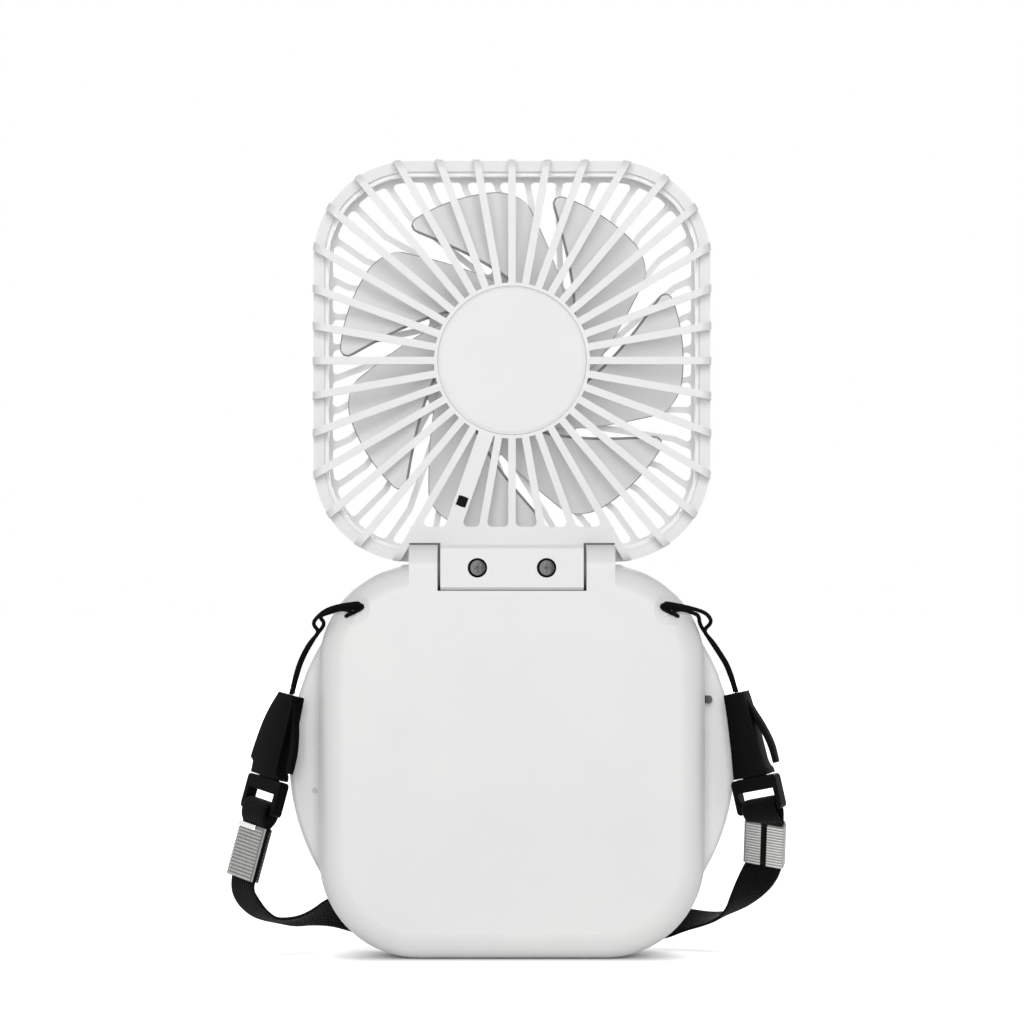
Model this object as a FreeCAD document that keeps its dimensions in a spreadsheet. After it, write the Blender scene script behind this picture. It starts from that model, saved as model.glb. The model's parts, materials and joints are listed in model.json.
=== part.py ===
import FreeCAD, Part
import math
import os
import Sketcher

Vec = FreeCAD.Vector
Rot = FreeCAD.Rotation
Place = FreeCAD.Placement

# Folding neck fan: a fan head on a friction hinge above a base pod, with a lanyard on the shoulders.
# Frame: X to the right, Y to the back, Z up; the origin is the middle of the foot. Millimetres, degrees.

doc = FreeCAD.newDocument("neck_fan")

# Driving sizes
size_table = [
    # base pod
    ("base_width", 93.0),
    ("base_height", 94.6),
    ("base_corner", 24.0),
    ("cover_depth", 18.0),
    ("cover_edge", 6.0),
    ("brim_radius", 54.3),
    ("brim_depth", 4.0),
    ("brim_edge", 1.0),
    ("dish_depth", 6.0),
    ("dish_edge", 2.0),
    ("wall", 1.8),
    ("cavity_drop", 14.6),
    ("cavity_top", "=base_height - cavity_drop"),
    # hinge
    ("axis_drop", 0.5),
    ("axis_height", "=base_height - axis_drop"),
    ("barrel_radius", 5.5),
    ("ear_width", 6.9),
    ("tab_width", 34.4),
    ("side_gap", 0.7),
    ("block_radius", 7.2),
    ("block_fit", 0.6),
    ("web_trim", 0.3),
    ("pin_radius", 1.5),
    ("pin_fit", 0.03),
    ("pin_seat", 0.01),
    ("ear_bore_depth", 5.0),
    ("pin_reach", 6.0),
    ("washer_radius", 2.8),
    ("washer_gap", 0.05),
    ("web_low", 1.6),
    ("clamp_gap", 0.1),
    ("screw_spacing", 16.6),
    ("screw_radius", 1.0),
    ("screw_fit", 0.05),
    ("screw_head_radius", 1.8),
    ("screw_head_height", 1.3),
    ("screw_recess_radius", 2.35),
    ("screw_recess_depth", 2.4),
    # fan head
    ("head_width", 97.0),
    ("head_height", 98.0),
    ("head_corner", 24.0),
    ("head_gap", 0.7),
    ("head_setback", 8.5),
    ("head_edge", 2.4),
    ("cage_depth", 8.0),
    ("rim_depth", 4.0),
    ("rim_width", 2.6),
    ("rib_width", 1.8),
    ("rib_depth", 2.2),
    ("rib_count", 36),
    ("hub_radius", 18.95),
    ("hub_depth", 3.0),
    ("cap_radius", 18.0),
    ("cap_depth", 1.2),
    ("cap_fit", 0.1),
    ("cap_line_radius", 17.75),
    ("cap_line_width", 0.4),
    ("cap_line_depth", 0.4),
    ("strip_height", 8.6),
    ("strip_round", 1.2),
    ("wire_rib_width", 3.8),
    ("wire_rib_depth", 3.0),
    ("wire_rib_angle", 250.5),
    ("wire_groove_width", 1.8),
    ("wire_groove_depth", 1.7),
    ("window_radius", 36.3),
    ("window_size", 2.6),
    # front guard
    ("cup_depth", 14.0),
    ("cup_wall", 2.0),
    ("cup_face", 2.2),
    ("cup_edge", 3.0),
    ("lip_fit", 0.15),
    ("lip_width", 0.9),
    ("lip_reach", 2.0),
    ("shelf_depth", 1.5),
    ("slot_margin", 4.2),
    ("slot_round", 1.0),
    ("swirl_rib_width", 1.5),
    ("swirl_angle", 29.2),
    ("front_hub_radius", 18.6),
    ("front_cap_radius", 15.0),
    ("front_cap_depth", 0.8),
    ("front_cap_fit", 0.1),
    # impeller and motor
    ("tip_radius", 42.4),
    ("tip_round", 3.0),
    ("blade_count", 7),
    ("blade_start", 6.4),
    ("blade_depth", 13.0),
    ("blade_thickness", 1.2),
    ("blade_span", 43.0),
    ("blade_sweep", 22.0),
    ("blade_turn", 2.0),
    ("hub_cup_radius", 15.2),
    ("hub_cup_start", 5.0),
    ("hub_cup_depth", 13.0),
    ("hub_cup_wall", 1.4),
    ("hub_cup_edge", 2.0),
    ("magnet_width", 1.2),
    ("magnet_depth", 7.0),
    ("magnet_fit", 0.05),
    ("air_gap", 0.5),
    ("stator_start", 6.2),
    ("stator_depth", 5.6),
    ("tooth_count", 9),
    ("tooth_width", 1.8),
    ("tooth_tip", 1.0),
    ("stator_ring", 4.6),
    ("coil_wall", 1.0),
    ("shaft_radius", 1.0),
    ("shaft_fit", 0.03),
    ("sleeve_radius", 2.6),
    ("lead_radius", 0.7),
    # base contents
    ("battery_width", 50.0),
    ("battery_low", 12.0),
    ("battery_room", 22.6),
    ("battery_height", "=base_height - battery_low - battery_room"),
    ("battery_depth", 9.0),
    ("battery_round", 2.0),
    ("board_depth", 1.0),
    ("board_right", 12.0),
    ("board_drop", 14.3),
    ("board_low", "=base_height / 2 - board_drop"),
    ("board_rise", 9.7),
    ("board_high", "=base_height / 2 + board_rise"),
    ("board_gap", 3.2),
    ("board_post_radius", 1.3),
    ("port_width", 8.9),
    ("port_depth", 3.2),
    ("port_length", 7.4),
    ("port_wall", 0.35),
    ("port_height", "=base_height / 2"),
    ("port_fit", 0.15),
    ("light_radius", 0.7),
    ("light_stand", 1.5),
    ("light_x", "=base_width / 2 + light_stand"),
    ("light_drop", 7.7),
    ("light_height", "=base_height / 2 - light_drop"),
    ("light_fit", 0.02),
    ("board_margin", 0.9),
    ("board_left", "=light_x + board_margin"),
    ("button_radius", 5.5),
    ("button_gap", 0.25),
    ("button_height", "=base_height / 2"),
    ("button_travel", 0.6),
    ("button_rest", 0.05),
    ("button_sink", 0.4),
    ("button_flange", 1.0),
    ("button_flange_depth", 0.8),
    ("switch_size", 6.0),
    ("switch_depth", 1.6),
    ("boss_radius", 3.0),
    ("boss_x_low", 33.0),
    ("boss_z_low", 16.0),
    ("boss_x_high", 38.5),
    ("boss_drop", 32.6),
    ("boss_z_high", "=base_height - boss_drop"),
    # lanyard
    ("scoop_radius", 3.9),
    ("scoop_x", 38.0),
    ("scoop_drop", 10.4),
    ("scoop_height", "=base_height - scoop_drop"),
    ("scoop_lift", 0.3),
    ("bar_radius", 0.8),
    ("bar_depth", 0.9),
    ("bar_length", 8.6),
    ("cord_diameter", 1.3),
    ("strap_width", 8.8),
    ("strap_thickness", 0.9),
    ("buckle_depth", 4.4),
    ("socket_length", 20.6),
    ("socket_top", 2.5),
    ("socket_bottom", 4.8),
    ("socket_round", 0.6),
    ("arm_width", 1.25),
    ("arm_depth", 3.4),
    ("tongue_width", 5.6),
    ("tongue_depth", 1.8),
    ("tongue_length", 12.0),
    ("tongue_fit", 0.4),
    ("frame_width", 12.0),
    ("frame_height", 8.5),
    ("frame_head", 3.2),
    ("frame_rail", 1.3),
    ("frame_depth", 3.0),
    ("frame_gap", 0.3),
    ("frame_bar_radius", 1.0),
    ("crimp_width", 9.6),
    ("crimp_wall", 0.3),
    ("crimp_length", 13.2),
    ("crimp_seam", 1.6),
    ("crimp_fit", 0.05),
    ("right_hang_back", 30.0),
    ("right_hang_turn", 25.0),
    ("right_hang_drop", 2.6),
    ("roll_inner", 9.0),
    ("roll_pitch", 4.0),
    ("roll_turns", 5),
    ("roll_gap", 3.5),
]
sheet = doc.addObject("Spreadsheet::Sheet", "sizes")
for row, entry in enumerate(size_table, start=1):
    sheet.set("A%d" % row, entry[0])
    sheet.set("B%d" % row, str(entry[1]))
    sheet.setAlias("B%d" % row, entry[0])
doc.recompute()


class Dim:
    # A number together with the sheet expression that gives it
    def __init__(self, number, text):
        self.number = float(number)
        self.text = text

    def __add__(self, other):
        return Dim(self.number + number_of(other), "(%s + %s)" % (self.text, text_of(other)))

    def __radd__(self, other):
        return self + other

    def __sub__(self, other):
        return Dim(self.number - number_of(other), "(%s - %s)" % (self.text, text_of(other)))

    def __rsub__(self, other):
        return Dim(number_of(other) - self.number, "(%s - %s)" % (text_of(other), self.text))

    def __mul__(self, other):
        return Dim(self.number * number_of(other), "(%s * %s)" % (self.text, text_of(other)))

    def __rmul__(self, other):
        return self * other

    def __truediv__(self, other):
        return Dim(self.number / number_of(other), "(%s / %s)" % (self.text, text_of(other)))

    def __neg__(self):
        return Dim(-self.number, "(0 - %s)" % self.text)

    def __float__(self):
        return self.number


def number_of(value):
    return value.number if isinstance(value, Dim) else float(value)


def text_of(value):
    return value.text if isinstance(value, Dim) else "%.6f" % value


def root(value):
    return Dim(math.sqrt(value.number), "sqrt(%s)" % value.text)


def size(alias):
    return Dim(sheet.get(alias), "sizes.%s" % alias)


def bind(item, name, value):
    if isinstance(value, Dim):
        item.setExpression(name, value.text)
    else:
        setattr(item, name, value)


# Derived places
base_depth = size("cover_depth") + size("brim_depth") + size("dish_depth")
y_front = -(base_depth / 2)
y_brim = y_front + size("cover_depth")
y_seam = y_brim + size("brim_depth")
y_back = y_seam + size("dish_depth")
base_mid = size("base_height") / 2
axis_y = y_front + size("barrel_radius")
axis_z = size("axis_height")
ear_gap = size("tab_width") / 2 + size("side_gap")
hinge_half = ear_gap + size("ear_width")
head_y = axis_y + size("head_setback")
head_low = size("base_height") + size("head_gap")
head_z = head_low + size("head_height") / 2
head_high = head_low + size("head_height")
y_rim = head_y + size("cage_depth") + size("rim_depth")
y_face = y_rim + size("cup_depth")
board_y = y_brim + size("board_gap")


# Small helpers for the document
def new_body(label):
    body = doc.addObject("PartDesign::Body", label)
    body.Label = label
    return body


def sketch_on(body, role, name, offset=None):
    sketch = body.newObject("Sketcher::SketchObject", name)
    plane = [item for item in body.Origin.OriginFeatures if item.Role == role][0]
    sketch.AttachmentSupport = [(plane, "")]
    sketch.MapMode = "FlatFace"
    if offset is not None:
        bind(sketch, "AttachmentOffset.Base.z", offset) if isinstance(offset, Dim) else None
    return sketch


def hold(sketch, kind, places, value):
    # Adds a driving distance between two points, in the order that makes it positive
    first, second = places
    number = value.number
    text = value.text
    if number < 0:
        first, second = second, first
        text = "(0 - %s)" % text
        number = -number
    index = sketch.addConstraint(Sketcher.Constraint(kind, first[0], first[1], second[0], second[1], number))
    sketch.setExpression("Constraints[%d]" % index, text)


def hold_radius(sketch, geometry, value):
    index = sketch.addConstraint(Sketcher.Constraint("Radius", geometry, value.number))
    sketch.setExpression("Constraints[%d]" % index, value.text)


origin_point = (-1, 1)


def draw_rounded(sketch, half_width, low, high, corner):
    # Upright rounded rectangle, even about the vertical axis
    w, b, t, r = half_width.number, low.number, high.number, corner.number
    line = Part.LineSegment
    arc = Part.ArcOfCircle
    normal = Vec(0, 0, 1)
    sketch.addGeometry([
        line(Vec(-w + r, b, 0), Vec(w - r, b, 0)),
        arc(Part.Circle(Vec(w - r, b + r, 0), normal, r), -math.pi / 2, 0),
        line(Vec(w, b + r, 0), Vec(w, t - r, 0)),
        arc(Part.Circle(Vec(w - r, t - r, 0), normal, r), 0, math.pi / 2),
        line(Vec(w - r, t, 0), Vec(-w + r, t, 0)),
        arc(Part.Circle(Vec(-w + r, t - r, 0), normal, r), math.pi / 2, math.pi),
        line(Vec(-w, t - r, 0), Vec(-w, b + r, 0)),
        arc(Part.Circle(Vec(-w + r, b + r, 0), normal, r), math.pi, 1.5 * math.pi),
    ])
    for index in range(8):
        after = (index + 1) % 8
        sketch.addConstraint(Sketcher.Constraint("Tangent", index, 2, after, 1))
    for index in (0, 4):
        sketch.addConstraint(Sketcher.Constraint("Horizontal", index))
    for index in (2, 6):
        sketch.addConstraint(Sketcher.Constraint("Vertical", index))
    for index in (3, 5, 7):
        sketch.addConstraint(Sketcher.Constraint("Equal", 1, index))
    hold_radius(sketch, 1, corner)
    hold(sketch, "DistanceX", (origin_point, (2, 1)), half_width)
    hold(sketch, "DistanceX", ((6, 1), origin_point), half_width)
    hold(sketch, "DistanceY", (origin_point, (0, 1)), low)
    hold(sketch, "DistanceY", (origin_point, (4, 1)), high)


def draw_lens(sketch, radius, middle, low, high):
    # Round plate cut flat at its foot and its top, or whole where it stays inside both
    r, m, b, t = radius.number, middle.number, low.number, high.number
    if r <= min(m - b, t - m):
        draw_circle(sketch, 0, middle, radius)
        return
    chord_low = math.sqrt(r * r - (m - b) ** 2)
    chord_high = math.sqrt(r * r - (t - m) ** 2)
    angle_low = math.atan2(b - m, chord_low)
    angle_high = math.atan2(t - m, chord_high)
    circle = Part.Circle(Vec(0, m, 0), Vec(0, 0, 1), r)
    sketch.addGeometry([
        Part.LineSegment(Vec(-chord_low, b, 0), Vec(chord_low, b, 0)),
        Part.ArcOfCircle(circle, angle_low, angle_high),
        Part.LineSegment(Vec(chord_high, t, 0), Vec(-chord_high, t, 0)),
        Part.ArcOfCircle(circle, math.pi - angle_high, math.pi - angle_low),
    ])
    for index in range(4):
        sketch.addConstraint(Sketcher.Constraint("Coincident", index, 2, (index + 1) % 4, 1))
    for index in (0, 2):
        sketch.addConstraint(Sketcher.Constraint("Horizontal", index))
    sketch.addConstraint(Sketcher.Constraint("Coincident", 1, 3, 3, 3))
    sketch.addConstraint(Sketcher.Constraint("PointOnObject", 1, 3, -2))
    hold_radius(sketch, 1, radius)
    hold(sketch, "DistanceY", (origin_point, (1, 3)), middle)
    hold(sketch, "DistanceY", (origin_point, (0, 1)), low)
    hold(sketch, "DistanceY", (origin_point, (2, 1)), high)


def draw_box(sketch, left, right, low, high):
    # Plain rectangle given by its four sides
    l, r, b, t = left.number, right.number, low.number, high.number
    corners = [Vec(l, b, 0), Vec(r, b, 0), Vec(r, t, 0), Vec(l, t, 0)]
    for index in range(4):
        sketch.addGeometry(Part.LineSegment(corners[index], corners[(index + 1) % 4]))
    for index in range(4):
        sketch.addConstraint(Sketcher.Constraint("Coincident", index, 2, (index + 1) % 4, 1))
    for index in (0, 2):
        sketch.addConstraint(Sketcher.Constraint("Horizontal", index))
    for index in (1, 3):
        sketch.addConstraint(Sketcher.Constraint("Vertical", index))
    hold(sketch, "DistanceX", (origin_point, (3, 1)), left)
    hold(sketch, "DistanceX", (origin_point, (1, 1)), right)
    hold(sketch, "DistanceY", (origin_point, (0, 1)), low)
    hold(sketch, "DistanceY", (origin_point, (2, 1)), high)


def draw_circle(sketch, across, up, radius):
    place = Vec(number_of(across), number_of(up), 0)
    index = sketch.addGeometry(Part.Circle(place, Vec(0, 0, 1), radius.number))
    hold_radius(sketch, index, radius)
    if isinstance(across, Dim):
        hold(sketch, "DistanceX", (origin_point, (index, 3)), across)
    else:
        sketch.addConstraint(Sketcher.Constraint("PointOnObject", index, 3, -2))
    if isinstance(up, Dim):
        hold(sketch, "DistanceY", (origin_point, (index, 3)), up)
    else:
        sketch.addConstraint(Sketcher.Constraint("PointOnObject", index, 3, -1))


def draw_outline(sketch, points):
    # Closed outline of straight sides through points already worked out from the sheet
    count = len(points)
    for index in range(count):
        start = Vec(points[index][0], points[index][1], 0)
        end = Vec(points[(index + 1) % count][0], points[(index + 1) % count][1], 0)
        sketch.addGeometry(Part.LineSegment(start, end))
    for index in range(count):
        sketch.addConstraint(Sketcher.Constraint("Coincident", index, 2, (index + 1) % count, 1))


def pad(body, sketch, length, name, reverse=False, even=False):
    feature = body.newObject("PartDesign::Pad", name)
    feature.Profile = sketch
    bind(feature, "Length", length)
    feature.Reversed = reverse
    if even:
        feature.SideType = "Symmetric"
    return feature


def pocket(body, sketch, length, name, reverse=False, even=False):
    feature = body.newObject("PartDesign::Pocket", name)
    feature.Profile = sketch
    bind(feature, "Length", length)
    feature.Reversed = reverse
    if even:
        feature.SideType = "Symmetric"
    return feature


def edges_where(shape, test):
    names = []
    for index, edge in enumerate(shape.Edges, start=1):
        if test(edge):
            names.append("Edge%d" % index)
    return names


def level_edges(shape, axis, value):
    # Edges that lie wholly in the plane where one coordinate has this value
    def flat(edge):
        box = edge.BoundBox
        low = getattr(box, axis + "Min")
        high = getattr(box, axis + "Max")
        return abs(low - value) < 1e-3 and abs(high - value) < 1e-3
    return edges_where(shape, flat)


def fillet(body, base, names, radius, name):
    feature = body.newObject("PartDesign::Fillet", name)
    feature.Base = (base, names)
    bind(feature, "Radius", radius)
    return feature


def set_place(item, x=0.0, y=0.0, z=0.0, rotation=None):
    item.Placement = Place(Vec(number_of(x), number_of(y), number_of(z)), rotation or Rot())
    for axis, value in (("x", x), ("y", y), ("z", z)):
        if isinstance(value, Dim):
            item.setExpression("Placement.Base.%s" % axis, value.text)


along_y = Rot(Vec(1, 0, 0), -90)
along_minus_y = Rot(Vec(1, 0, 0), 90)
along_x = Rot(Vec(0, 1, 0), 90)


def cylinder(name, radius, length, x, y, z, rotation):
    item = doc.addObject("Part::Cylinder", name)
    bind(item, "Radius", radius)
    bind(item, "Height", length)
    set_place(item, x, y, z, rotation)
    return item


def box(name, x_size, y_size, z_size, x, y, z, rotation=None):
    item = doc.addObject("Part::Box", name)
    bind(item, "Length", x_size)
    bind(item, "Width", y_size)
    bind(item, "Height", z_size)
    set_place(item, x, y, z, rotation)
    return item


def fuse(name, items):
    item = doc.addObject("Part::MultiFuse", name)
    item.Shapes = items
    item.Refine = True
    return item


def cut(name, base, tool):
    item = doc.addObject("Part::Cut", name)
    item.Base = base
    item.Tool = tool
    item.Refine = True
    return item


def common(name, first, second):
    item = doc.addObject("Part::MultiCommon", name)
    item.Shapes = [first, second]
    return item


def made(name, shape):
    item = doc.addObject("Part::Feature", name)
    item.Shape = shape
    return item


def rounded_prism(name, half_width, low, high, corner, start, depth):
    # Rounded rectangle drawn upright and drawn out along Y
    body = new_body(name)
    sketch = sketch_on(body, "XZ_Plane", name + "_outline", -start)
    draw_rounded(sketch, half_width, low, high, corner)
    pad(body, sketch, depth, name + "_pad", reverse=True)
    return body


nodes = {}


def finish(label, item):
    item.Label = label
    nodes[label] = item


# Base front cover: pod with rounded front edge, round brim behind, open to the back
cover = new_body("front_cover_body")
sketch = sketch_on(cover, "XZ_Plane", "pod_outline", -y_brim)
draw_rounded(sketch, size("base_width") / 2, size("wall") * 0, size("base_height"), size("base_corner"))
pod_pad = pad(cover, sketch, size("cover_depth"), "pod_pad")
doc.recompute()
pod_round = fillet(cover, pod_pad, level_edges(pod_pad.Shape, "Y", y_front.number), size("cover_edge"), "pod_round")
sketch = sketch_on(cover, "XZ_Plane", "brim_outline", -y_seam)
draw_lens(sketch, size("brim_radius"), base_mid, size("wall") * 0, size("base_height"))
brim_pad = pad(cover, sketch, size("brim_depth"), "brim_pad")
doc.recompute()


def rim_edges(shape, level):
    # The two long arcs of the round plate that lie at this depth
    def rim(edge):
        box_of = edge.BoundBox
        reach = max(abs(box_of.XMin), abs(box_of.XMax))
        flat = abs(box_of.YMin - level) < 1e-3 and abs(box_of.YMax - level) < 1e-3
        return flat and reach > size("brim_radius").number - 0.5
    return edges_where(shape, rim)


brim_round = fillet(cover, brim_pad, rim_edges(brim_pad.Shape, y_brim.number), size("brim_edge"), "brim_round")
sketch = sketch_on(cover, "YZ_Plane", "ear_outline")
ear_low = axis_z - size("barrel_radius") * 1.7
ear_near = axis_y - size("barrel_radius")
ear_far = axis_y + size("barrel_radius")
sketch.addGeometry([
    Part.LineSegment(Vec(float(ear_far), float(ear_low), 0), Vec(float(ear_far), float(axis_z), 0)),
    Part.ArcOfCircle(Part.Circle(Vec(float(axis_y), float(axis_z), 0), Vec(0, 0, 1),
                                 size("barrel_radius").number), 0, math.pi),
    Part.LineSegment(Vec(float(ear_near), float(axis_z), 0), Vec(float(ear_near), float(ear_low), 0)),
    Part.LineSegment(Vec(float(ear_near), float(ear_low), 0), Vec(float(ear_far), float(ear_low), 0)),
])
sketch.addConstraint(Sketcher.Constraint("Tangent", 0, 2, 1, 1))
sketch.addConstraint(Sketcher.Constraint("Tangent", 1, 2, 2, 1))
sketch.addConstraint(Sketcher.Constraint("Coincident", 2, 2, 3, 1))
sketch.addConstraint(Sketcher.Constraint("Coincident", 3, 2, 0, 1))
sketch.addConstraint(Sketcher.Constraint("Vertical", 0))
sketch.addConstraint(Sketcher.Constraint("Vertical", 2))
sketch.addConstraint(Sketcher.Constraint("Horizontal", 3))
hold_radius(sketch, 1, size("barrel_radius"))
hold(sketch, "DistanceX", (origin_point, (1, 3)), axis_y)
hold(sketch, "DistanceY", (origin_point, (1, 3)), axis_z)
hold(sketch, "DistanceY", (origin_point, (3, 1)), ear_low)
pad(cover, sketch, hinge_half * 2, "ear_pad", even=True)
notch_radius = size("block_radius") + size("block_fit")
sketch = sketch_on(cover, "YZ_Plane", "notch_round_outline")
draw_circle(sketch, axis_y, axis_z, notch_radius)
pocket(cover, sketch, ear_gap * 2, "notch_round", even=True)
sketch = sketch_on(cover, "YZ_Plane", "notch_outline")
draw_box(sketch, y_front - size("cover_edge"), axis_y + notch_radius, axis_z, axis_z + size("barrel_radius") * 3)
pocket(cover, sketch, ear_gap * 2, "notch", even=True)
sketch = sketch_on(cover, "YZ_Plane", "ear_bore_outline")
draw_circle(sketch, axis_y, axis_z, size("pin_radius") + size("pin_seat"))
pocket(cover, sketch, (ear_gap + size("ear_bore_depth")) * 2, "ear_bore", even=True)
sketch = sketch_on(cover, "XZ_Plane", "brim_hollow_outline", -y_seam)
draw_lens(sketch, size("brim_radius") - size("wall"), base_mid, size("wall"), size("base_height") - size("wall"))
pocket(cover, sketch, size("brim_depth") - size("wall"), "brim_hollow", reverse=True)
sketch = sketch_on(cover, "XZ_Plane", "pod_hollow_outline", -y_seam)
draw_rounded(sketch, size("base_width") / 2 - size("wall"), size("wall"), size("cavity_top"),
             size("base_corner") - size("wall"))
pocket(cover, sketch, size("brim_depth") + size("cover_depth") - size("wall"), "pod_hollow", reverse=True)
doc.recompute()

# Bosses inside the front cover take the housing screws
boss_places = []
for side in (-1, 1):
    boss_places.append((size("boss_x_low") * side, size("boss_z_low")))
    boss_places.append((size("boss_x_high") * side, size("boss_z_high")))
bosses = []
boss_bores = []
boss_start = y_front + size("wall") / 2
boss_length = y_seam - boss_start
for index, place in enumerate(boss_places):
    bosses.append(cylinder("boss_%d" % index, size("boss_radius"), boss_length, place[0], boss_start,
                           place[1], along_y))
    boss_bores.append(cylinder("boss_bore_%d" % index, size("screw_radius") + size("screw_fit"),
                               boss_length - size("wall"), place[0], boss_start + size("wall"), place[1], along_y))

# Shoulder scoops, each crossed by the bar that the lanyard cord goes round
scoops = []
bars = []
for side in (-1, 1):
    scoop = doc.addObject("Part::Sphere", "scoop_%d" % (side + 1))
    bind(scoop, "Radius", size("scoop_radius"))
    set_place(scoop, size("scoop_x") * side, y_front - size("scoop_lift"), size("scoop_height"))
    scoops.append(scoop)
    lean = Rot(Vec(0, 1, 0), 45 * side)
    bar = cylinder("bar_%d" % (side + 1), size("bar_radius"), size("bar_length"),
                   size("scoop_x") * side - size("bar_length") * (0.5 * side * math.sin(math.radians(45))),
                   y_front + size("bar_depth"),
                   size("scoop_height") - size("bar_length") * (0.5 * math.cos(math.radians(45))), lean)
    bars.append(bar)

# Mouth for the charging port in the left rim, and the hole for the charge light
port_x = -root(size("brim_radius") * size("brim_radius")
               - (size("port_height") - base_mid) * (size("port_height") - base_mid))
port_y = board_y + size("board_depth")
mouth_round = size("port_depth") / 2 + size("port_fit")
mouth = box("port_mouth", size("port_length") * 2, mouth_round * 2, size("port_width") + size("port_fit") * 2,
            port_x - size("port_length"), port_y - size("port_fit"),
            size("port_height") - size("port_width") / 2 - size("port_fit"))
light_hole = cylinder("light_hole", size("light_radius") + size("light_fit"), size("wall") * 2,
                      -size("light_x"), y_brim - size("wall") / 2, size("light_height"), along_y)
board_posts = []
for index, height in enumerate((size("board_low") + size("board_post_radius") * 2,
                                size("board_high") - size("board_post_radius") * 2)):
    board_posts.append(cylinder("board_post_%d" % index, size("board_post_radius"), size("board_gap") - size("wall") / 2,
                                -(size("board_left") - size("board_post_radius") * 1.5),
                                y_brim + size("wall") / 2, height, along_y))
cover_with_bosses = fuse("cover_with_bosses", [cover] + bosses + board_posts)
cover_tools = fuse("cover_tools", scoops + boss_bores + [mouth, light_hole])
cover_cut = cut("cover_cut", cover_with_bosses, cover_tools)
bars_in_wall = common("bars_in_wall", cover, fuse("bars", bars))
front_cover = fuse("front_cover", [cover_cut, bars_in_wall])
finish("front_cover", front_cover)

# Base rear cover: shallow dish with a rounded rim, button hole and screw holes
dish = new_body("rear_cover_body")
sketch = sketch_on(dish, "XZ_Plane", "dish_outline", -y_seam)
draw_lens(sketch, size("brim_radius"), base_mid, size("wall") * 0, size("base_height"))
dish_pad = pad(dish, sketch, size("dish_depth"), "dish_pad", reverse=True)
doc.recompute()
dish_round = fillet(dish, dish_pad, rim_edges(dish_pad.Shape, y_back.number), size("dish_edge"), "dish_round")
sketch = sketch_on(dish, "XZ_Plane", "dish_hollow_outline", -y_seam)
draw_lens(sketch, size("brim_radius") - size("wall"), base_mid, size("wall"), size("base_height") - size("wall"))
pocket(dish, sketch, size("dish_depth") - size("wall"), "dish_hollow")
sketch = sketch_on(dish, "XZ_Plane", "button_hole_outline", -y_back)
draw_circle(sketch, 0, size("button_height"), size("button_radius") + size("button_gap"))
pocket(dish, sketch, size("wall") * 1.5, "button_hole", reverse=True)
doc.recompute()
posts = []
post_bores = []
post_recesses = []
for index, place in enumerate(boss_places):
    posts.append(cylinder("post_%d" % index, size("boss_radius"), size("dish_depth") - size("wall") / 2,
                          place[0], y_seam, place[1], along_y))
    post_bores.append(cylinder("post_bore_%d" % index, size("screw_radius") + size("screw_fit"),
                               size("dish_depth"), place[0], y_seam, place[1], along_y))
    post_recesses.append(cylinder("post_recess_%d" % index, size("screw_head_radius") + size("screw_fit") * 3,
                                  size("screw_recess_depth"), place[0], y_back - size("screw_recess_depth"),
                                  place[1], along_y))
dish_with_posts = fuse("dish_with_posts", [dish] + posts)
dish_mouth = box("dish_mouth", size("port_length") * 2, mouth_round * 2, size("port_width") + size("port_fit") * 2,
                 port_x - size("port_length"), port_y - size("port_fit"),
                 size("port_height") - size("port_width") / 2 - size("port_fit"))
dish_tools = fuse("dish_tools", post_bores + post_recesses + [dish_mouth])
finish("rear_cover", cut("rear_cover", dish_with_posts, dish_tools))


def screw(name, x, y, z, head_radius, head_height, radius, length, rotation, forward):
    # Pan head with a cross-free plain crown and a round shank; forward is +1 when the shank points to +Y
    head = cylinder(name + "_head", head_radius, head_height, x, y, z, rotation)
    shank = cylinder(name + "_shank", radius, length, x, y + head_height * forward, z, rotation)
    return fuse(name, [head, shank])


housing = []
for index, place in enumerate(boss_places):
    housing.append(screw("housing_screw_%d" % index, place[0],
                         y_back - size("screw_recess_depth") + size("screw_head_height"), place[1],
                         size("screw_head_radius"), size("screw_head_height"), size("screw_radius"),
                         size("dish_depth") + size("cover_depth") / 2, along_minus_y, -1))
compound = doc.addObject("Part::Compound", "housing_screws")
compound.Links = housing
finish("housing_screws", compound)

# Base contents
battery = new_body("battery_pack")
sketch = sketch_on(battery, "XZ_Plane", "battery_outline", -(y_front + size("wall")))
draw_rounded(sketch, size("battery_width") / 2, size("battery_low"), size("battery_low") + size("battery_height"),
             size("battery_round"))
pad(battery, sketch, size("battery_depth"), "battery_pad", reverse=True)
finish("battery_pack", battery)

board = new_body("circuit_board")
sketch = sketch_on(board, "XZ_Plane", "board_outline", -board_y)
draw_box(sketch, -size("board_left"), size("board_right"), size("board_low"), size("board_high"))
pad(board, sketch, size("board_depth"), "board_pad", reverse=True)
finish("circuit_board", board)

port_shell = new_body("usb_port")
port_mid_y = port_y + size("port_depth") / 2
sketch = sketch_on(port_shell, "YZ_Plane", "port_outline", port_x + size("port_fit"))
port_half = size("port_width") / 2


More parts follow.
